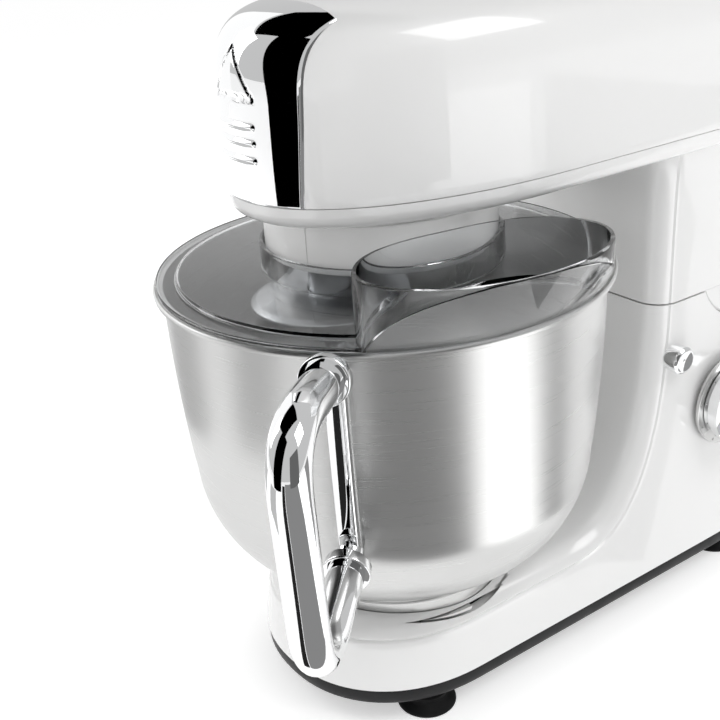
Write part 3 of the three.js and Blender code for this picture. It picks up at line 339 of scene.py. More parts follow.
def carve(target, *tools):
    for tool in tools:
        combine(target, tool, "DIFFERENCE")
    return target


def fuse(target, *tools):
    for tool in tools:
        combine(target, tool, "UNION")
    return target


def sweep(name, path, radius, sides=32):
    """A round bar along a smooth path, with domed ends."""
    points = [Vector(point) for point in path]
    tangents = []
    for i, point in enumerate(points):
        ahead = points[min(i + 1, len(points) - 1)]
        behind = points[max(i - 1, 0)]
        tangents.append((ahead - behind).normalized())
    side = tangents[0].orthogonal().normalized()
    rings = []

    def ring(centre, tangent, size):
        up = tangent.cross(side)
        return [tuple(centre + (side * math.cos(a) + up * math.sin(a)) * size)
                for a in (2 * math.pi * k / sides for k in range(sides))]

    cap_steps = 3
    for i, (point, tangent) in enumerate(zip(points, tangents)):
        side = (side - tangent * side.dot(tangent)).normalized()
        size = radius(i / (len(points) - 1)) if callable(radius) else radius
        if i == 0:
            for k in range(cap_steps):
                angle = math.pi / 2 * k / cap_steps
                rings.append(ring(point - tangent * size * 0.12 * math.cos(angle), tangent,
                                  size * (0.88 + 0.12 * math.sin(angle))))
        rings.append(ring(point, tangent, size))
        if i == len(points) - 1:
            for k in range(cap_steps):
                angle = math.pi / 2 * (k + 1) / cap_steps
                rings.append(ring(point + tangent * size * 0.12 * math.sin(angle), tangent,
                                  size * (0.88 + 0.12 * math.cos(angle))))
    return skin(name, rings)


def finish_piece(obj, body, slot, *nodes, sharp=32):
    """Shades a piece smooth between sharp edges, gives it its material and ties it to the frame."""
    obj.data.shade_smooth()
    obj.data.set_sharp_from_angle(angle=math.radians(sharp))
    obj.data.materials.clear()
    obj.data.materials.append(MATERIALS[slot])
    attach(obj, body)
    if nodes:
        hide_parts(*nodes)
    return obj


def ease(share):
    share = min(1, max(0, share))
    return share * share * (3 - 2 * share)


def power(value, exponent):
    return math.copysign(abs(value) ** exponent, value)


# ---------------------------------------------------------------- base housing

HOUSING_Z = 22.2
DECK_Z = 60.4
SEAM_Z = 182
COVE_START_Y = 68
COVE_TOP_Y = 138
SHOULDER_WIDTH = 14.5
SHOULDER_DEPTH = 14
GROOVE_AT = 9.5
GROOVE_HALF = 0.9
GROOVE_DEPTH = 0.9
SIDE_LENGTH = 285
HOUSING_REAR_Z = 168


def wall_point(along, z, inset):
    """A point on the housing's right-hand wall; along runs from the front middle round to the rear middle."""
    half = 60 + 11 * ((SEAM_Z - z) / (SEAM_Z - HOUSING_Z)) ** 1.6 - inset
    rise = ease((z - 40) / 70)
    front_y = -77 + 4 * ease((z - HOUSING_Z) / 40)
    rear_y = 250 - 8 * rise - inset
    rear_centre = 185 + 17 * rise
    if along < 0:
        angle = (1 + along / 100) * math.pi / 2
        x = half * power(math.sin(angle), 2 / 2.2)
        return (x, (front_y + inset) * power(math.cos(angle), 2 / 2.2), z)
    if along <= rear_centre:
        return (half, along, z)
    angle = (along - rear_centre) / (SIDE_LENGTH - rear_centre) * math.pi / 2
    bend = 2 / (2.8 + 1.7 * rise)
    x = half * power(math.cos(angle), bend)
    return (x, rear_centre + (rear_y - rear_centre) * power(math.sin(angle), bend), z)


def shoulder_inset(depth):
    """How far the wall is pulled in at a depth below the deck or behind the cove, with its thin groove."""
    inset = 0
    if depth < SHOULDER_DEPTH:
        inset = SHOULDER_WIDTH * (1 - math.sqrt(max(0, 1 - (1 - depth / SHOULDER_DEPTH) ** 2)))
    off = abs(depth - GROOVE_AT) / GROOVE_HALF
    if off < 1:
        inset += GROOVE_DEPTH * math.cos(off * math.pi / 2) ** 2
    return inset


def cove_rib(angle):
    """Start (along, z), direction into the body, and far end (along, z) of the wall's rib at a cove angle."""
    y = COVE_START_Y + (COVE_TOP_Y - COVE_START_Y) * math.sin(angle)
    rise = (SEAM_Z - DECK_Z) * (1 - math.cos(angle)) ** 1.15
    dy = (COVE_TOP_Y - COVE_START_Y) * math.cos(angle)
    dz = (SEAM_Z - DECK_Z) * 1.15 * (1 - math.cos(angle)) ** 0.15 * math.sin(angle)
    inward = Vector((dz, -dy)).normalized()
    bottom_length = SIDE_LENGTH - COVE_START_Y
    total = bottom_length + SEAM_Z - HOUSING_Z
    run = total * angle / (math.pi / 2)
    if run < bottom_length:
        end = Vector((COVE_START_Y + run, HOUSING_Z))
    else:
        end = Vector((SIDE_LENGTH, HOUSING_Z + run - bottom_length))
    return Vector((y, DECK_Z + rise)), inward, end


def housing_ribs():
    """The (start, inward, end) of every rib from the front middle to the column's seam."""
    ribs = []
    for i in range(26):
        along = -100 + 100 * i / 26
        ribs.append((Vector((along, DECK_Z)), Vector((0, -1)), Vector((along, HOUSING_Z))))
    for i in range(9):
        along = COVE_START_Y * i / 9
        ribs.append((Vector((along, DECK_Z)), Vector((0, -1)), Vector((along, HOUSING_Z))))
    cove_steps = 34
    for i in range(cove_steps + 1):
        ribs.append(cove_rib(math.pi / 2 * i / cove_steps))
    return ribs


def rib_points(start, inward, end):
    near = [0, 0.25, 0.7, 1.4, 2.3, 3.4, 4.7, 6.1, 7.4, 8.4, 8.75, 9.1, 9.5, 9.9, 10.25, 10.6, 11.6, 12.8, 14]
    points = []
    for depth in near:
        along, z = start + inward * depth
        points.append(wall_point(along, max(z, HOUSING_Z), shoulder_inset(depth)))
    last = start + inward * near[-1]
    far_steps = 14
    for i in range(1, far_steps + 1):
        along, z = last.lerp(end, i / far_steps)
        points.append(wall_point(along, z, 0))
    return points


def base_housing():
    columns = [rib_points(*rib) for rib in housing_ribs()]
    height = len(columns[0])
    count = len(columns)
    points = [point for column in columns for point in column]
    points += [(-x, y, z) for x, y, z in points]
    offset = count * height
    faces = []
    for i in range(count - 1):
        for j in range(height - 1):
            a = i * height + j
            faces.append((a, a + 1, a + height + 1, a + height))
            faces.append((a + offset, a + height + offset, a + height + 1 + offset, a + 1 + offset))
    across = 12
    strip = len(points)
    for i in range(count):
        x, y, z = columns[i][0]
        points += [(x - 2 * x * k / across, y, z) for k in range(across + 1)]
    for i in range(count - 1):
        for k in range(across):
            a = strip + i * (across + 1) + k
            faces.append((a, a + across + 1, a + across + 2, a + 1))
    last = [i * height + height - 1 for i in range(count)]
    bottom = [i for i in last if points[i][2] < HOUSING_Z + 0.01]
    faces.append(tuple(bottom + [i + offset for i in reversed(bottom[1:-1])]))
    top = [(count - 1) * height + j for j in range(height)]
    front = [strip + (count - 1) * (across + 1) + k for k in range(across + 1)]
    faces.append(tuple(top + [i + offset for i in reversed(top[:-1])] + list(reversed(front[1:-1]))))
    housing = solid("housing", points, faces)
    barrel = turned("barrel", rectangle(0.01, 34.6, -90, 90), (HINGE.y, HINGE_Z), 96, axis="X")
    rear = block("rear", (-100, HINGE.y, HOUSING_REAR_Z), (100, 280, 240))
    well_radius = 65.3
    opening = turned("opening", rectangle(0.01, 60.3, 53, 80), sides=128)
    under_lip = turned("under_lip", rectangle(50, well_radius, 53.01, 57.4), sides=128)
    keeper_slot = block("keeper_slot", (-8, 147.5, 150), (8, 166, 190))
    notches = [arc_block("notch", 50, 64.6, 7 + 120 * i, 20, 54, 80) for i in range(3)]
    carve(housing, barrel, rear, opening, under_lip, keeper_slot, *notches)
    lugs = []
    for side in (-1, 1):
        x0, x1 = sorted((side * 20, side * 30))
        lug = turned("lug", rectangle(0.01, 20, x0, x1), (HINGE.y, HINGE_Z), 64, 0.6, "X")
        stem = block("stem", (x0, HINGE.y - 19.9, 156), (x1, HINGE.y + 19.9, HINGE_Z))
        lugs += [lug, stem]
    fuse(housing, *lugs)
    finish_piece(housing, "base", "white_paint", "base_housing")


def arc_block(name, inner, outer, middle, half, z0, z1):
    """A block with round inner and outer faces about the bowl's axis, angles in degrees."""
    steps = 16
    rings = []
    for i in range(steps + 1):
        angle = math.radians(middle - half + 2 * half * i / steps)
        c, s = math.cos(angle), math.sin(angle)
        rings.append([(r * c, r * s, z) for r, z in ((inner, z0), (outer, z0), (outer, z1), (inner, z1))])
    return skin(name, rings)


def plan_loop(half, front_y, front_centre, front_bend, rear_y, rear_centre, rear_bend, inset, z, per_end=48):
    """A closed outline at one height with superellipse ends, anticlockwise from the right-hand side."""
    loop = []
    width = half - inset
    for i in range(per_end + 1):
        angle = math.pi * i / per_end
        x = width * power(math.cos(angle), 2 / rear_bend)
        reach = rear_y - inset - rear_centre
        loop.append((x, rear_centre + reach * power(math.sin(angle), 2 / rear_bend), z))
    for i in range(per_end + 1):
        angle = math.pi + math.pi * i / per_end
        x = width * power(math.cos(angle), 2 / front_bend)
        reach = front_centre - front_y - inset
        loop.append((x, front_centre + reach * power(math.sin(angle), 2 / front_bend), z))
    return loop


def band_loop(inset, z):
    return plan_loop(71, -77, 0, 2.2, 250, 185, 2.8, inset, z)


def base_band():
    levels = [
        (4, 12.2), (2.2, 12.6), (1.2, 13.6), (0.6, 15), (0.4, 17), (0.4, 20.9), (0.7, 21.6), (1.4, 21.9),
    ]
    rings = [band_loop(inset, z) for inset, z in levels]
    band = skin("base_band", rings)
    finish_piece(band, "base", "black_plastic", "base_plate")


def suction_feet():
    for end, y in (("front", -24), ("rear", 210)):
        for hand, x in (("left", -52), ("right", 52)):
            profile = [
                (0.01, 0.9), (10, 0.9), (14.5, 0), (16, 0.4), (15.7, 1.7), (13.8, 3), (11.6, 4.6), (10.7, 6),
                (11.4, 7), (11.4, 8.4), (10.2, 9.2), (10.2, 11.9), (0.01, 11.9),
            ]
            foot = turned("rubber_foot", profile, (x, y), 64, 0.5)
            foot.name = f"rubber_foot_{end}_{hand}"
            finish_piece(foot, "base", "black_rubber", f"suction_foot_{end}_{hand}")


def base_screws():
    for i, (x, y) in enumerate([(-52, 54), (-52, 168), (52, 54), (52, 168)]):
        profile = [(0.01, 9.7), (3.2, 9.7), (4, 10.4), (4, 11.9), (2, 11.9), (2, 37), (0.01, 38)]
        screw = turned(f"cross_screw_{i + 1}", profile, (x, y), 32, 0.2)
        for wide, deep in ((2.4, 0.5), (0.5, 2.4)):
            carve(screw, block("slot", (x - wide, y - deep, 9), (x + wide, y + deep, 10.9)))
        finish_piece(screw, "base", "machined_steel", f"base_screw_{i + 1}")


base_housing()
base_band()
suction_feet()
base_screws()

seat_pad = turned("seat_ring_pad", rectangle(48.2, 59.6, 53.3, 54.8), sides=96, round_by=0.4)
finish_piece(seat_pad, "base", "black_rubber", "bowl_seat_pad")


# ---------------------------------------------------------------- head

HEAD_SEAM_Z = 278
HEAD_SHOULDER_Z = 322
HEAD_TOP_Z = 360
HEAD_FRONT_Y = -76
HEAD_FRONT_CENTRE = 57
HEAD_FRONT_POWER = 2.2
HEAD_REAR_Y = 252
HEAD_REAR_CENTRE = 184
HEAD_REAR_POWER = 2.6
HEAD_HALF = 73
CROWN_INSET = 45
CROWN_POWER = 3
SHOULDER_INSET = 0.8
NOSE_LOW_HALF = 34
NOSE_SPREAD = 3
NOSE_REAR_Y = -43
NOSE_PROUD = 0.3


def head_loop(inset, z, per_end=48):
    return plan_loop(HEAD_HALF, HEAD_FRONT_Y, HEAD_FRONT_CENTRE, HEAD_FRONT_POWER,
                     HEAD_REAR_Y, HEAD_REAR_CENTRE, HEAD_REAR_POWER, inset, z, per_end)


def dome(share, depth=0.0):
    """(height, inset) on the head's wall and dome; share 0 is the seam, 1 the shoulder and 2 the top."""
    if share <= 1:
        return HEAD_SEAM_Z + (HEAD_SHOULDER_Z - HEAD_SEAM_Z) * share, depth + SHOULDER_INSET * ease(share)
    angle = (share - 1) * math.pi / 2
    rise = HEAD_TOP_Z - depth - HEAD_SHOULDER_Z
    lift = rise * power(math.sin(angle), 2 / CROWN_POWER)
    inward = 1 - power(math.cos(angle), 2 / CROWN_POWER)
    return HEAD_SHOULDER_Z + lift, depth + SHOULDER_INSET + CROWN_INSET * inward


def nose_grid(margin, depth, rows=60, columns=48, relief=None):
    """The nose panel's surface as rows of points, from the seam up over the top to its rear edge."""
    rear_y = NOSE_REAR_Y + margin
    grid = []
    top_shares = []
    for k in range(columns + 1):
        across = -1 + 2 * k / columns
        low, high = 1.0, 2.0
        for _ in range(30):
            middle = (low + high) / 2
            if nose_point(across, middle, margin, depth)[1] < rear_y:
                low = middle
            else:
                high = middle
        top_shares.append(low)
    for j in range(rows + 1):
        row = []
        for k in range(columns + 1):
            across = -1 + 2 * k / columns
            share = top_shares[k] * j / rows
            lift = relief(across, share) if relief else 0
            row.append(nose_point(across, share, margin, depth - lift))
        grid.append(row)
    return grid


def nose_point(across, share, margin, depth):
    z, inset = dome(share, depth)
    rise = (z - HEAD_SEAM_Z) / (HEAD_TOP_Z - HEAD_SEAM_Z)
    half_width = NOSE_LOW_HALF + NOSE_SPREAD * rise + margin
    x = across * half_width
    wide = HEAD_HALF - inset
    long = HEAD_FRONT_CENTRE - HEAD_FRONT_Y - inset
    reach = max(0, 1 - abs(x / wide) ** HEAD_FRONT_POWER) ** (1 / HEAD_FRONT_POWER)
    return (x, HEAD_FRONT_CENTRE - long * reach, z)


def sheet_between(name, outer, inner):
    """A closed solid between two grids of the same size."""
    rows, columns = len(outer), len(outer[0])
    points = [p for row in outer for p in row] + [p for row in inner for p in row]
    shift = rows * columns
    faces = []
    for j in range(rows - 1):
        for k in range(columns - 1):
            a = j * columns + k
            faces.append((a, a + 1, a + columns + 1, a + columns))
            faces.append((a + shift, a + columns + shift, a + columns + 1 + shift, a + 1 + shift))
    rim = [k for k in range(columns)]
    rim += [j * columns + columns - 1 for j in range(1, rows)]
    rim += [(rows - 1) * columns + k for k in range(columns - 2, -1, -1)]
    rim += [j * columns for j in range(rows - 2, 0, -1)]
    for i, a in enumerate(rim):
        b = rim[(i + 1) % len(rim)]
        faces.append((a, a + shift, b + shift, b))
    return solid(name, points, faces)


def head_upper():
    shares = [0.012, 0.1, 0.3, 0.55, 0.8, 1] + [1 + i / 24 for i in range(1, 25)]
    outer = [head_loop(0.7, HEAD_SEAM_Z), head_loop(0.2, HEAD_SEAM_Z + 0.15)]
    outer += [head_loop(dome(s)[1], dome(s)[0]) for s in shares]
    inner = [head_loop(dome(s, 3)[1], dome(s, 3)[0]) for s in reversed(shares)]
    inner.append(head_loop(3, HEAD_SEAM_Z))
    shell = skin("head_cowl", inner + outer)
    pocket = sheet_between("pocket", nose_grid(0.3, -6, 24, 24), nose_grid(0.3, 2.4, 24, 24))
    hub_hole = turned("hub_hole", rectangle(0.01, 19.3, -90, -47), (0, 312), 64, axis="Y")
    carve(shell, pocket, hub_hole)
    finish_piece(shell, "head", "white_paint", "head_upper_shell")


TRIANGLE = [(0.0, 345.0), (-15.0, 324.0), (15.0, 324.0)]
RIB_HEIGHTS = (312.0, 305.0, 297.5)
RIB_HALF = 13.5


def segment_distance(x, z, a, b):
    px, pz = x - a[0], z - a[1]
    dx, dz = b[0] - a[0], b[1] - a[1]
    share = min(1, max(0, (px * dx + pz * dz) / (dx * dx + dz * dz)))
    return math.hypot(px - share * dx, pz - share * dz)


def nose_relief(across, share):
    """Height of the cover's surface over its plain form: a sunk triangle outline and three raised ribs."""
    x, _, z = nose_point(across, share, 0, -NOSE_PROUD)
    lift = 0.0
    for i in range(3):
        off = segment_distance(x, z, TRIANGLE[i], TRIANGLE[(i + 1) % 3])
        if off < 1.1:
            lift -= 0.9 * math.cos(off / 1.1 * math.pi / 2) ** 2
    for height in RIB_HEIGHTS:
        off = segment_distance(x, z, (-RIB_HALF, height), (RIB_HALF, height))
        if off < 1.9:
            lift += 0.9 * math.cos(off / 1.9 * math.pi / 2) ** 2
    edge = min(1 - abs(across), share * 2) * 30
    if edge < 1:
        lift -= 0.5 * (1 - edge) ** 2
    return lift


def nose_cover():
    outer = nose_grid(0, -NOSE_PROUD, 200, 130, nose_relief)
    inner = nose_grid(0, 2.1, 200, 130)
    cover = sheet_between("mirror_nose_cover", outer, inner)
    finish_piece(cover, "nose_cover", "chrome", "nose_cover", sharp=50)


def neck_loop(offset, z):
    """The neck's outline, which matches the top of the column."""
    start, inward, end = cove_rib(math.pi / 2)
    right = rib_points(start, inward, end)
    grown = []
    for x, y, _ in right:
        grown.append((x * (60 + offset) / 60, y + offset * (y - 190) / 52, z))
    left = [(-x, y, z_) for x, y, z_ in reversed(grown[:-1])]
    return grown + left


def head_lower():
    tray_levels = [
        (266.99, 12), (267.02, 9), (267.6, 6.2), (269, 3.8), (271.2, 1.9), (274, 0.9), (277.7, 0.6),
    ]
    tray = skin("head_belly", [head_loop(inset, z) for z, inset in tray_levels])
    neck_levels = [
        (182.6, 0.6), (183.1, 0), (200, 0), (228, 0), (240, 0.3), (250, 1), (258, 2.2),
        (263, 3.8), (267.5, 6),
    ]
    neck = skin("neck", [neck_loop(offset * -1 if z < 182.7 else offset, z) for z, offset in neck_levels])
    behind = block("behind", (-100, HINGE.y, 180), (100, 280, HINGE_Z))
    carve(neck, behind)
    barrel = turned("barrel", [(0.01, -59), (33, -59), (34, -58), (34, 58), (33, 59), (0.01, 59)],
                    (HINGE.y, HINGE_Z), 96, axis="X")
    fuse(tray, neck, barrel)
    cavity = skin("cavity", [head_loop(9, 270), head_loop(3.6, 279)])
    drive_hole = turned("drive_hole", rectangle(0.01, 54.5, 260, 280), sides=128)
    cuts = [cavity, drive_hole]
    for side in (-1, 1):
        x0, x1 = sorted((side * 19.4, side * 30.6))
        cuts.append(turned("slot", rectangle(0.01, 37, x0, x1), (HINGE.y, HINGE_Z), 64, axis="X"))
        x0, x1 = sorted((side * 53.7, side * 75))
        cuts.append(turned("cap", rectangle(0.01, 9.3, x0, x1), (HINGE.y, HINGE_Z), 48, axis="X"))
    cuts.append(block("keeper_slot", (-6.3, 155.7, 160), (6.3, 164.3, 186.9)))
    carve(tray, *cuts)
    finish_piece(tray, "head", "white_paint", "head_lower_shell")


def drive_cover():
    profile = rectangle(54.5, 57.5, 242.8, 266.6)
    cover = turned("drive_skirt", profile, sides=160, round_by=1.4)
    seam = block("seam", (-0.35, -60, 241), (0.35, -57.05, 268))
    seam.matrix_world = Matrix.Translation(spot(0, 0, 0)) @ Matrix.Rotation(math.radians(18), 4, "Z") \
        @ Matrix.Translation(-spot(0, 0, 0))
    bpy.context.view_layer.update()
    carve(cover, seam)
    finish_piece(cover, "head", "white_plastic", "drive_cover")


def hinge_caps():
    for hand, side in (("left", -1), ("right", 1)):
        profile = [(0.01, side * 54), (9, side * 54), (9, side * 60.6), (8, side * 61.4), (0.01, side * 61.6)]
        cap = turned(f"pivot_cap_{hand}", profile, (HINGE.y, HINGE_Z), 48, 0.3, "X")
        dimple = turned("dimple", rectangle(5.6, 6.4, side * 61.1, side * 63),
                        (HINGE.y, HINGE_Z), 48, axis="X")
        carve(cap, dimple)
        finish_piece(cap, "head", "white_plastic", f"hinge_cap_{hand}")


head_upper()
nose_cover()
head_lower()
drive_cover()
hinge_caps()


# ---------------------------------------------------------------- front outlet behind the nose cover

def outlet_parts():
    hub = turned("outlet_socket", [(15, -62), (19, -62), (19, -40), (5.4, -40), (5.4, -44), (15, -44)],
                 (0, 312), 96, 0.7, "Y")
    finish_piece(hub, "head", "cast_metal", "outlet_hub")
    core = turned("outlet_drive", [(0.01, -60), (11, -60), (11, -48), (5, -48), (5, -13), (0.01, -13)],
                  (0, 312), 64, 0.5, "Y")
    carve(core, block("square", (-5, -62, 307), (5, -50, 317)))
    finish_piece(core, "outlet", "machined_steel", "outlet_coupling")


outlet_parts()


# ---------------------------------------------------------------- tool spindle, dough hook and carrier

def smooth_path(points, steps):
    """A smooth curve through listed points."""
    path = []
    guide = [Vector(p) for p in points]
    guide = [2 * guide[0] - guide[1]] + guide + [2 * guide[-1] - guide[-2]]
    for i in range(1, len(guide) - 2):
        a, b, c, d = guide[i - 1:i + 3]
        for k in range(steps):
            t = k / steps
            path.append(0.5 * (2 * b + (c - a) * t + (2 * a - 5 * b + 4 * c - d) * t * t
                               + (3 * b - a - 3 * c + d) * t ** 3))
    path.append(guide[-2])
    return path


def dough_hook():
    sleeve_profile = [(0.01, 192), (11, 192), (11, 234), (8.3, 234), (8.3, 205.7), (0.01, 205.7)]
    sleeve = turned("kneading_hook", sleeve_profile, (SPINDLE.x, SPINDLE.y), 64, 1.2)
    route = [
        (0, 0, 196), (3, 1, 184), (24, 8, 172), (35, 2, 148),
        (30, -16, 122), (10, -25, 104), (-10, -16, 94), (-16, 2, 90),
    ]
    path = smooth_path([(x + SPINDLE.x, y + SPINDLE.y, z) for x, y, z in route], 10)
    rod = sweep("rod", path, lambda share: 5.6 - 1.4 * share ** 3, 24)
    fuse(sleeve, rod)
    finish_piece(sleeve, "spindle", "cast_metal", "dough_hook")
    z = 219
    profile = [
        (11.3, z), (28, z - 1.5), (37, z - 4), (40, z - 5.6), (40, z - 4), (37, z - 2.2),
        (28, z + 0.4), (18, z + 1.6), (11.3, z + 2),
    ]
    shield = turned("climb_shield", profile, (SPINDLE.x, SPINDLE.y), 96, 0.5)
    finish_piece(shield, "spindle", "cast_metal", "hook_shield")


def planet_disc():
    profile = [(0.01, 243.5), (53.8, 243.5), (53.8, 249.5), (8, 249.5), (8, 347), (0.01, 347)]
    disc = turned("planet_disc", profile, sides=128, round_by=0.8)
    hole = turned("hole", rectangle(0.01, 8.4, 240, 252), (SPINDLE.x, SPINDLE.y), 48)
    carve(disc, hole)
    finish_piece(disc, "planet", "cast_metal", "planet_carrier")


dough_hook()
planet_disc()


# ---------------------------------------------------------------- splash guard

CHUTE_INNER = 61.5
CHUTE_LIP = 134
CHUTE_TOP_Z = 262
CHUTE_ANGLES = (-43, 26)
CHUTE_POWER = 2.3
GUARD_RADIUS = 112.9
GUARD_Z = 230.4


def bean(inset, z, count=144):
    """The chute's rim outline round the bowl's axis, moved in by inset."""
    inner = CHUTE_INNER + inset
    outer = CHUTE_LIP - inset
    middle = (inner + outer) / 2
    half = (outer - inner) / 2
    first, last = CHUTE_ANGLES
    centre_angle = math.radians((first + last) / 2)
    half_angle = math.radians((last - first) / 2) - inset / middle
    loop = []
    for i in range(count):
        turn = 2 * math.pi * i / count
        radius = middle + half * power(math.cos(turn), 2 / CHUTE_POWER)
        angle = centre_angle + half_angle * power(math.sin(turn), 2 / CHUTE_POWER)
        loop.append((radius * math.cos(angle), radius * math.sin(angle), z))
    return loop


def chute_radius(z):
    return GUARD_RADIUS + (CHUTE_LIP - GUARD_RADIUS) * (z - GUARD_Z) / (CHUTE_TOP_Z - GUARD_Z)


def chute_solid(name, inset, levels, low, high):
    """An upright cup of the rim's outline, trimmed by the cone that leans out to the lip."""
    cup = skin(name, [bean(inset + more, z) for more, z in levels])
    cone = turned("cone", [(0.01, low), (chute_radius(low) - inset, low), (chute_radius(high) - inset, high),
                           (0.01, high)], sides=192)
    combine(cup, cone, "INTERSECT")
    return cup


def splash_guard():
    profile = [
        (58.3, 232.2), (101.6, 232.2), (102.6, 230.4), (112.4, 230.4), (112.9, 230.9), (112.9, 232.2),
        (112.3, 232.7),
        (111, 232.2), (103.4, 232.2), (102.3, 234.2), (60.5, 234.2), (60.5, 247), (58.3, 247),
    ]
    lid = turned("clear_guard", profile, sides=160, round_by=0.5)
    outside = chute_solid("outside", 0, [(0, 231), (0, 261.2), (0.25, 261.8), (0.6, 262)], 230.6, 263)
    inside = chute_solid("inside", 2, [(0, 226), (0, 265)], 227, 264)
    opening = turned("opening", rectangle(0.01, 58.3, 225, 270), sides=160)
    fuse(lid, outside)
    carve(lid, inside, opening)
    finish_piece(lid, "guard", "clear_plastic", "splash_guard")


splash_guard()


# ---------------------------------------------------------------- bowl

RIM_Z = 230
BOWL_BOTTOM_Z = 72
KNEE_Z = 132
RIM_RADIUS = 115
RING_RADIUS = 58.5


def bowl_radius(z):
    if z >= KNEE_Z:
        share = (z - KNEE_Z) / (RIM_Z - KNEE_Z)
        return 104.5 + 5.5 * math.sin(share * math.pi / 2) ** 0.8
    share = (KNEE_Z - z) / (KNEE_Z - BOWL_BOTTOM_Z)
    return 104.5 - 54 * (1 - math.sqrt(max(0, 1 - share ** 1.9)))


def mixing_bowl():
    wall = 1.2
    low_steps = 26
    heights = [KNEE_Z - (KNEE_Z - BOWL_BOTTOM_Z) * math.sin(math.pi / 2 * (1 - i / low_steps))
               for i in range(1, low_steps + 1)]
    heights += [KNEE_Z + 94 * i / 16 for i in range(1, 17)]
    outer = [(0.01, BOWL_BOTTOM_Z), (RING_RADIUS - 10, BOWL_BOTTOM_Z)]
    outer += [(bowl_radius(z), z) for z in heights]
    rim = [(bowl_radius(226.4) + 0.6, 226.9), (111, 227.2), (113.2, 227), (114.2, 227.7), (114.4, 228.7),
           (114.1, 229.6), (113.4, 230), (110.5, 229.7), (109.3, 229.1)]
    inner = [(bowl_radius(z) - wall, z + wall * 0.3) for z in reversed(heights)]
    inner += [(RING_RADIUS - 11, BOWL_BOTTOM_Z + wall), (0.01, BOWL_BOTTOM_Z + wall)]
    shell = turned("mixing_bowl", outer + rim + inner, sides=192)
    finish_piece(shell, "bowl", "brushed_steel", "bowl")


def foot_ring():
    profile = [(53.5, 70.3), (58.5, 70.3), (58.5, 55.1), (59.9, 55.1), (59.9, 65.4), (60.2, 66), (59.9, 66.6),
               (59.9, 70.9), (59.3, 71.7), (53.5, 71.7)]
    ring = turned("bayonet_ring", profile, sides=160, round_by=0.25)
    lugs = [arc_block("lug", 59.2, 64.3, -14 + 120 * i, 13, 55.1, 56.9) for i in range(3)]
    fuse(ring, *lugs)
    finish_piece(ring, "bowl", "brushed_steel", "bowl_foot_ring")


mixing_bowl()
foot_ring()

HANDLE_ANGLE = math.radians(-47)
HANDLE_TOP = (131, 226)
HANDLE_TOP_CORNER = (190, 233)
HANDLE_LOW_CORNER = (179, 116)
HANDLE_LOW = (120, 126)
HANDLE_BEND = 30
HANDLE_RADIUS = 8.6
COLLAR_RADIUS = 11
COLLAR_LENGTH = 6
STUB_RADIUS = 6.5


def at_handle(reach, side, z):
    c, s = math.cos(HANDLE_ANGLE), math.sin(HANDLE_ANGLE)
    return (reach * c - side * s, reach * s + side * c, z)


def handle_path():
    """The handle's centreline in (reach, height): straight stretches joined by wide bends."""
    corners = [Vector(p) for p in (HANDLE_TOP, HANDLE_TOP_CORNER, HANDLE_LOW_CORNER, HANDLE_LOW)]
    path = [corners[0], corners[0].lerp(corners[1], 0.25)]
    for i in (1, 2):
        enter = corners[i] + (corners[i - 1] - corners[i]).normalized() * HANDLE_BEND
        leave = corners[i] + (corners[i + 1] - corners[i]).normalized() * HANDLE_BEND
        for k in range(17):
            t = k / 16
            path.append(enter * (1 - t) ** 2 + corners[i] * 2 * t * (1 - t) + leave * t * t)
        if i == 1:
            following = corners[2] + (corners[1] - corners[2]).normalized() * HANDLE_BEND
            path += [leave.lerp(following, k / 8) for k in range(1, 8)]
    path += [corners[3].lerp(corners[2], 0.2), corners[3]]
    return [at_handle(p.x, 0, p.y) for p in path]


def collar(name, start, towards, radius, length):
    """A short polished collar round the tube's end, with rounded edges."""
    begin = Vector((start[0], start[1]))
    heading = (Vector((towards[0], towards[1])) - begin).normalized()
    across = Vector((-heading.y, heading.x))
    outline = rounded(rectangle(0.01, radius, -length, 0), 1.0)
    rings = []
    sides = 64
    for i in range(sides):
        angle = 2 * math.pi * i / sides
        ring = []
        for r, t in outline:
            point = begin + heading * t + across * (r * math.cos(angle))
            ring.append(at_handle(point.x, r * math.sin(angle), point.y))
        rings.append(ring)
    return loop_skin(name, rings)


def handle_parts():
    tube = sweep("handle_grip", handle_path(), HANDLE_RADIUS, 48)
    finish_piece(tube, "bowl", "chrome", "handle_tube")
    heights = [124, 128, 134, 141] + [141 + 85 * i / 22 for i in range(1, 23)]
    outline = rounded(rectangle(0, 5, -4.5, 4.5), 1.3, 3)
    rings = []
    for z in heights:
        near = bowl_radius(min(z, 225.9)) + 1.2
        rings.append([at_handle(near + out, side, z) for out, side in outline])
    bar = skin("handle_mount", rings)
    upper = collar("upper", HANDLE_TOP, HANDLE_TOP_CORNER, COLLAR_RADIUS, COLLAR_LENGTH)
    lower = collar("lower", HANDLE_LOW, HANDLE_LOW_CORNER, COLLAR_RADIUS, COLLAR_LENGTH)
    stubs = []
    for wall_z, start, corner in ((219, HANDLE_TOP, HANDLE_TOP_CORNER), (131, HANDLE_LOW, HANDLE_LOW_CORNER)):
        back = Vector(start) - (Vector(corner) - Vector(start)).normalized() * 3
        near = Vector((bowl_radius(wall_z) + 3.7, wall_z))
        places = [near.lerp(back, k / 3) for k in range(4)]
        path = [at_handle(place.x, 0, place.y) for place in places]
        stubs.append(sweep("stub", path, STUB_RADIUS, 32))
    fuse(bar, upper, lower, *stubs)
    rim_profile = rectangle(0.01, 115.3, 226.5, 250)
    wall_heights = (80, 92, 105, 115, 124, 132, 150, 175, 200, 226.6)
    wall_profile = [(0.01, BOWL_BOTTOM_Z)] + [(bowl_radius(z) + 0.8, z) for z in wall_heights]
    wall_profile += [(0.01, 226.6)]
    carve(bar, turned("rim_clear", rim_profile, sides=160), turned("wall_clear", wall_profile, sides=160))
    finish_piece(bar, "bowl", "chrome", "handle_bracket")


handle_parts()


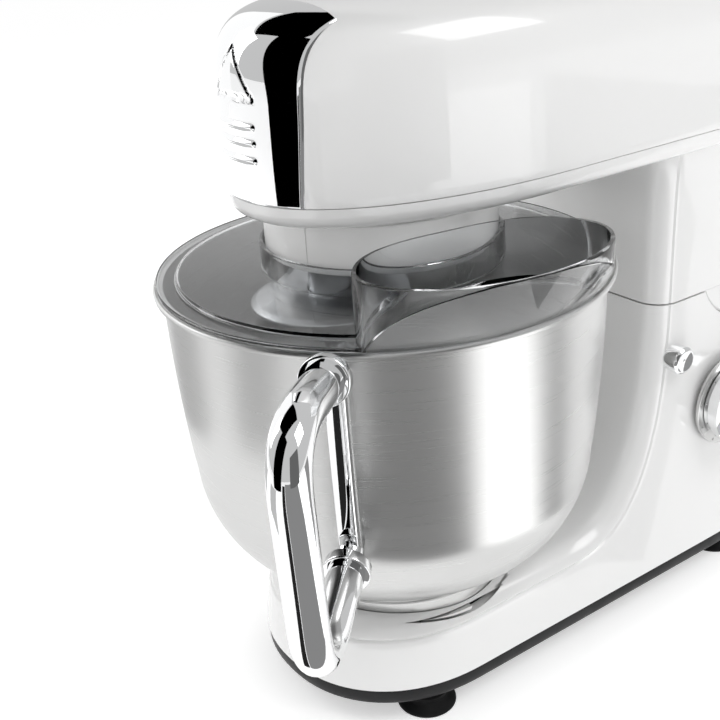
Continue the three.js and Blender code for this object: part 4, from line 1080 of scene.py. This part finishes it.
# ---------------------------------------------------------------- controls on the column

DIAL_Y = 196
DIAL_Z = 112


def controls():
    bezel = turned("dial_ring", rectangle(5, 28, 65.3, 67.7), (DIAL_Y, DIAL_Z), 96, 0.8, "X")
    marks = []
    for i in range(9):
        angle = math.radians(-40 + 35 * i)
        y = DIAL_Y + 26 * math.cos(angle)
        z = DIAL_Z + 26 * math.sin(angle)
        marks.append(turned("mark", rectangle(0.01, 0.7, 67.3, 69), (y, z), 16, axis="X"))
    carve(bezel, *marks)
    finish_piece(bezel, "base", "brushed_steel", "dial_bezel")

    profile = [(0.01, 44.3), (3, 44.3), (3, 68), (24, 68), (24, 80), (22.6, 83.6), (19.5, 85), (0.01, 85)]
    knob = turned("speed_knob", profile, (DIAL_Y, DIAL_Z), 120, 0.8, "X")
    for side in (-1, 1):
        pocket = turned("pocket", rectangle(0.01, 19, 77, 88), (DIAL_Y + side * 24, DIAL_Z), 64, axis="X")
        carve(knob, pocket)
    pointer = block("pointer", (84.2, DIAL_Y - 0.8, DIAL_Z + 8), (86, DIAL_Y + 0.8, DIAL_Z + 20))
    carve(knob, pointer)
    finish_piece(knob, "dial", "chrome", "speed_dial")

    profile = [(0.01, 14), (3.5, 14), (3.5, 59), (8, 59), (8, 67.4), (6.4, 69), (0.01, 68.4)]
    button = turned("tilt_button", profile, (152, 150), 64, 0.5, "X")
    finish_piece(button, "button", "chrome", "release_button")

    profile = [
        (3.8, 244), (6.5, 244), (6.5, 250.3), (10, 250.3), (10, 253.3), (7.2, 254),
        (6.6, 256), (6.9, 257.2), (6.2, 258.4), (5, 259.3), (3.8, 259.3),
    ]
    bush = turned("cable_gland", profile, (0, 42), 48, 0.3, "Y")
    finish_piece(bush, "base", "black_rubber", "cord_gland")


controls()


# ---------------------------------------------------------------- inner pieces that keep their CAD shape

for node in frame["record"]["subparts"]:
    inner = frame["nodes"][node["node"]]
    material = MATERIALS[node["material_slot"]]
    if len(inner.material_slots) == 0:
        inner.data.materials.append(material)
    for holder in inner.material_slots:
        holder.material = material


# ---------------------------------------------------------------- floor and light

def stage_sheet(name, corners, material):
    mesh = bpy.data.meshes.new(name)
    mesh.from_pydata(corners, [], [tuple(range(len(corners)))])
    mesh.materials.append(material)
    obj = bpy.data.objects.new(name, mesh)
    bpy.context.scene.collection.objects.link(obj)
    return obj


def glow(name, colour, strength):
    material = bpy.data.materials.new(name)
    material.use_nodes = True
    surface = material.node_tree.nodes["Principled BSDF"]
    surface.inputs["Base Color"].default_value = (0, 0, 0, 1)
    surface.inputs["Roughness"].default_value = 1
    surface.inputs["Specular IOR Level"].default_value = 0
    surface.inputs["Emission Color"].default_value = (*colour, 1)
    surface.inputs["Emission Strength"].default_value = strength
    return material


def card(name, corners, brightness):
    """A studio card that only shows in reflections."""
    obj = stage_sheet(name, corners, glow(name, (1, 1, 1), brightness))
    obj.visible_camera = False
    obj.visible_diffuse = False
    obj.visible_shadow = False
    obj.visible_transmission = False
    return obj


def backdrop():
    """A white backdrop far behind the floor on every side, seen only directly or through clear plastic."""
    white = glow("white_backdrop", (1, 1, 1), 1.0)
    far = 5.9
    corners = rectangle(-far, far, -far, far)
    for i, (x0, y0) in enumerate(corners):
        x1, y1 = corners[(i + 1) % len(corners)]
        wall = stage_sheet(f"backdrop_{i}", [(x0, y0, -3), (x1, y1, -3), (x1, y1, 6), (x0, y0, 6)], white)
        wall.visible_diffuse = False
        wall.visible_glossy = False
        wall.visible_shadow = False


def studio():
    ground = bpy.data.materials.new("pale_floor")
    ground.use_nodes = True
    surface = ground.node_tree.nodes["Principled BSDF"]
    surface.inputs["Base Color"].default_value = (0.9, 0.9, 0.9, 1)
    surface.inputs["Roughness"].default_value = 0.9
    surface.inputs["Specular IOR Level"].default_value = 0
    surface.inputs["Emission Color"].default_value = (1, 1, 1, 1)
    surface.inputs["Emission Strength"].default_value = 0.45
    span = 6
    stage_sheet("floor", [(-span, -span, 0), (span, -span, 0), (span, span, 0), (-span, span, 0)], ground)
    backdrop()
    world = bpy.data.worlds.new("studio")
    world.use_nodes = True
    world.node_tree.nodes["Background"].inputs["Color"].default_value = (1, 1, 1, 1)
    world.node_tree.nodes["Background"].inputs["Strength"].default_value = 0.6
    bpy.context.scene.world = world
    bpy.context.scene.view_settings.view_transform = "Standard"


def lamp(name, place, target, size, watts):
    data = bpy.data.lights.new(name, "AREA")
    data.shape = "RECTANGLE"
    data.size, data.size_y = size
    data.energy = watts
    obj = bpy.data.objects.new(name, data)
    obj.location = place
    obj.rotation_euler = (Vector(target) - Vector(place)).to_track_quat("-Z", "Y").to_euler()
    bpy.context.scene.collection.objects.link(obj)
    return obj


def floor_card(name, first, last, near, far, brightness):
    """A card lying on the floor between two angles round the bowl, for the steel and chrome to mirror."""
    corners = []
    for distance, angle in ((near, first), (far, first), (far, last), (near, last)):
        turn = math.radians(angle)
        corners.append((distance * math.cos(turn) - 0.011, distance * math.sin(turn) - 0.057, 0.002))
    card(name, corners, brightness)


studio()
lamp("key_light", (0.9, 0.5, 1.4), (0, 0, 0.2), (0.8, 0.8), 7)
lamp("left_light", (-1.2, -0.8, 0.9), (0, 0, 0.2), (0.7, 1.0), 6)
card("dark_front", [(-0.1, -1.0, 0.0), (0.42, -1.0, 0.0), (0.75, -1.0, 2.0), (-0.45, -1.0, 2.0)], 0.0)
card("dark_above_left", [(-1.5, -1.1, 1.9), (0.2, -1.1, 1.9), (0.2, 0.5, 1.9), (-1.5, 0.5, 1.9)], 0.0)
card("grey_right", [(1.2, -0.75, 0.0), (1.2, 0.12, 0.0), (1.2, 0.12, 1.0), (1.2, -0.75, 1.0)], 0.14)
card("soft_box_left", [(-1.3, -0.9, 0.05), (-1.3, 0.3, 0.05), (-1.3, 0.3, 1.6), (-1.3, -0.9, 1.6)], 1.1)
floor_card("floor_left_lobe", 190, 226, 0.35, 0.9, 0.6)
floor_card("floor_front_lobe", -112, -86, 0.35, 0.9, 0.55)
floor_card("floor_black_line", -62, -52, 0.2, 2.0, 0.02)
floor_card("floor_grey", -51, 0, 0.2, 3.0, 0.26)
floor_card("floor_bright", 2, 34, 0.2, 2.0, 2.1)
floor_card("floor_dim", 38, 56, 0.2, 2.0, 0.3)
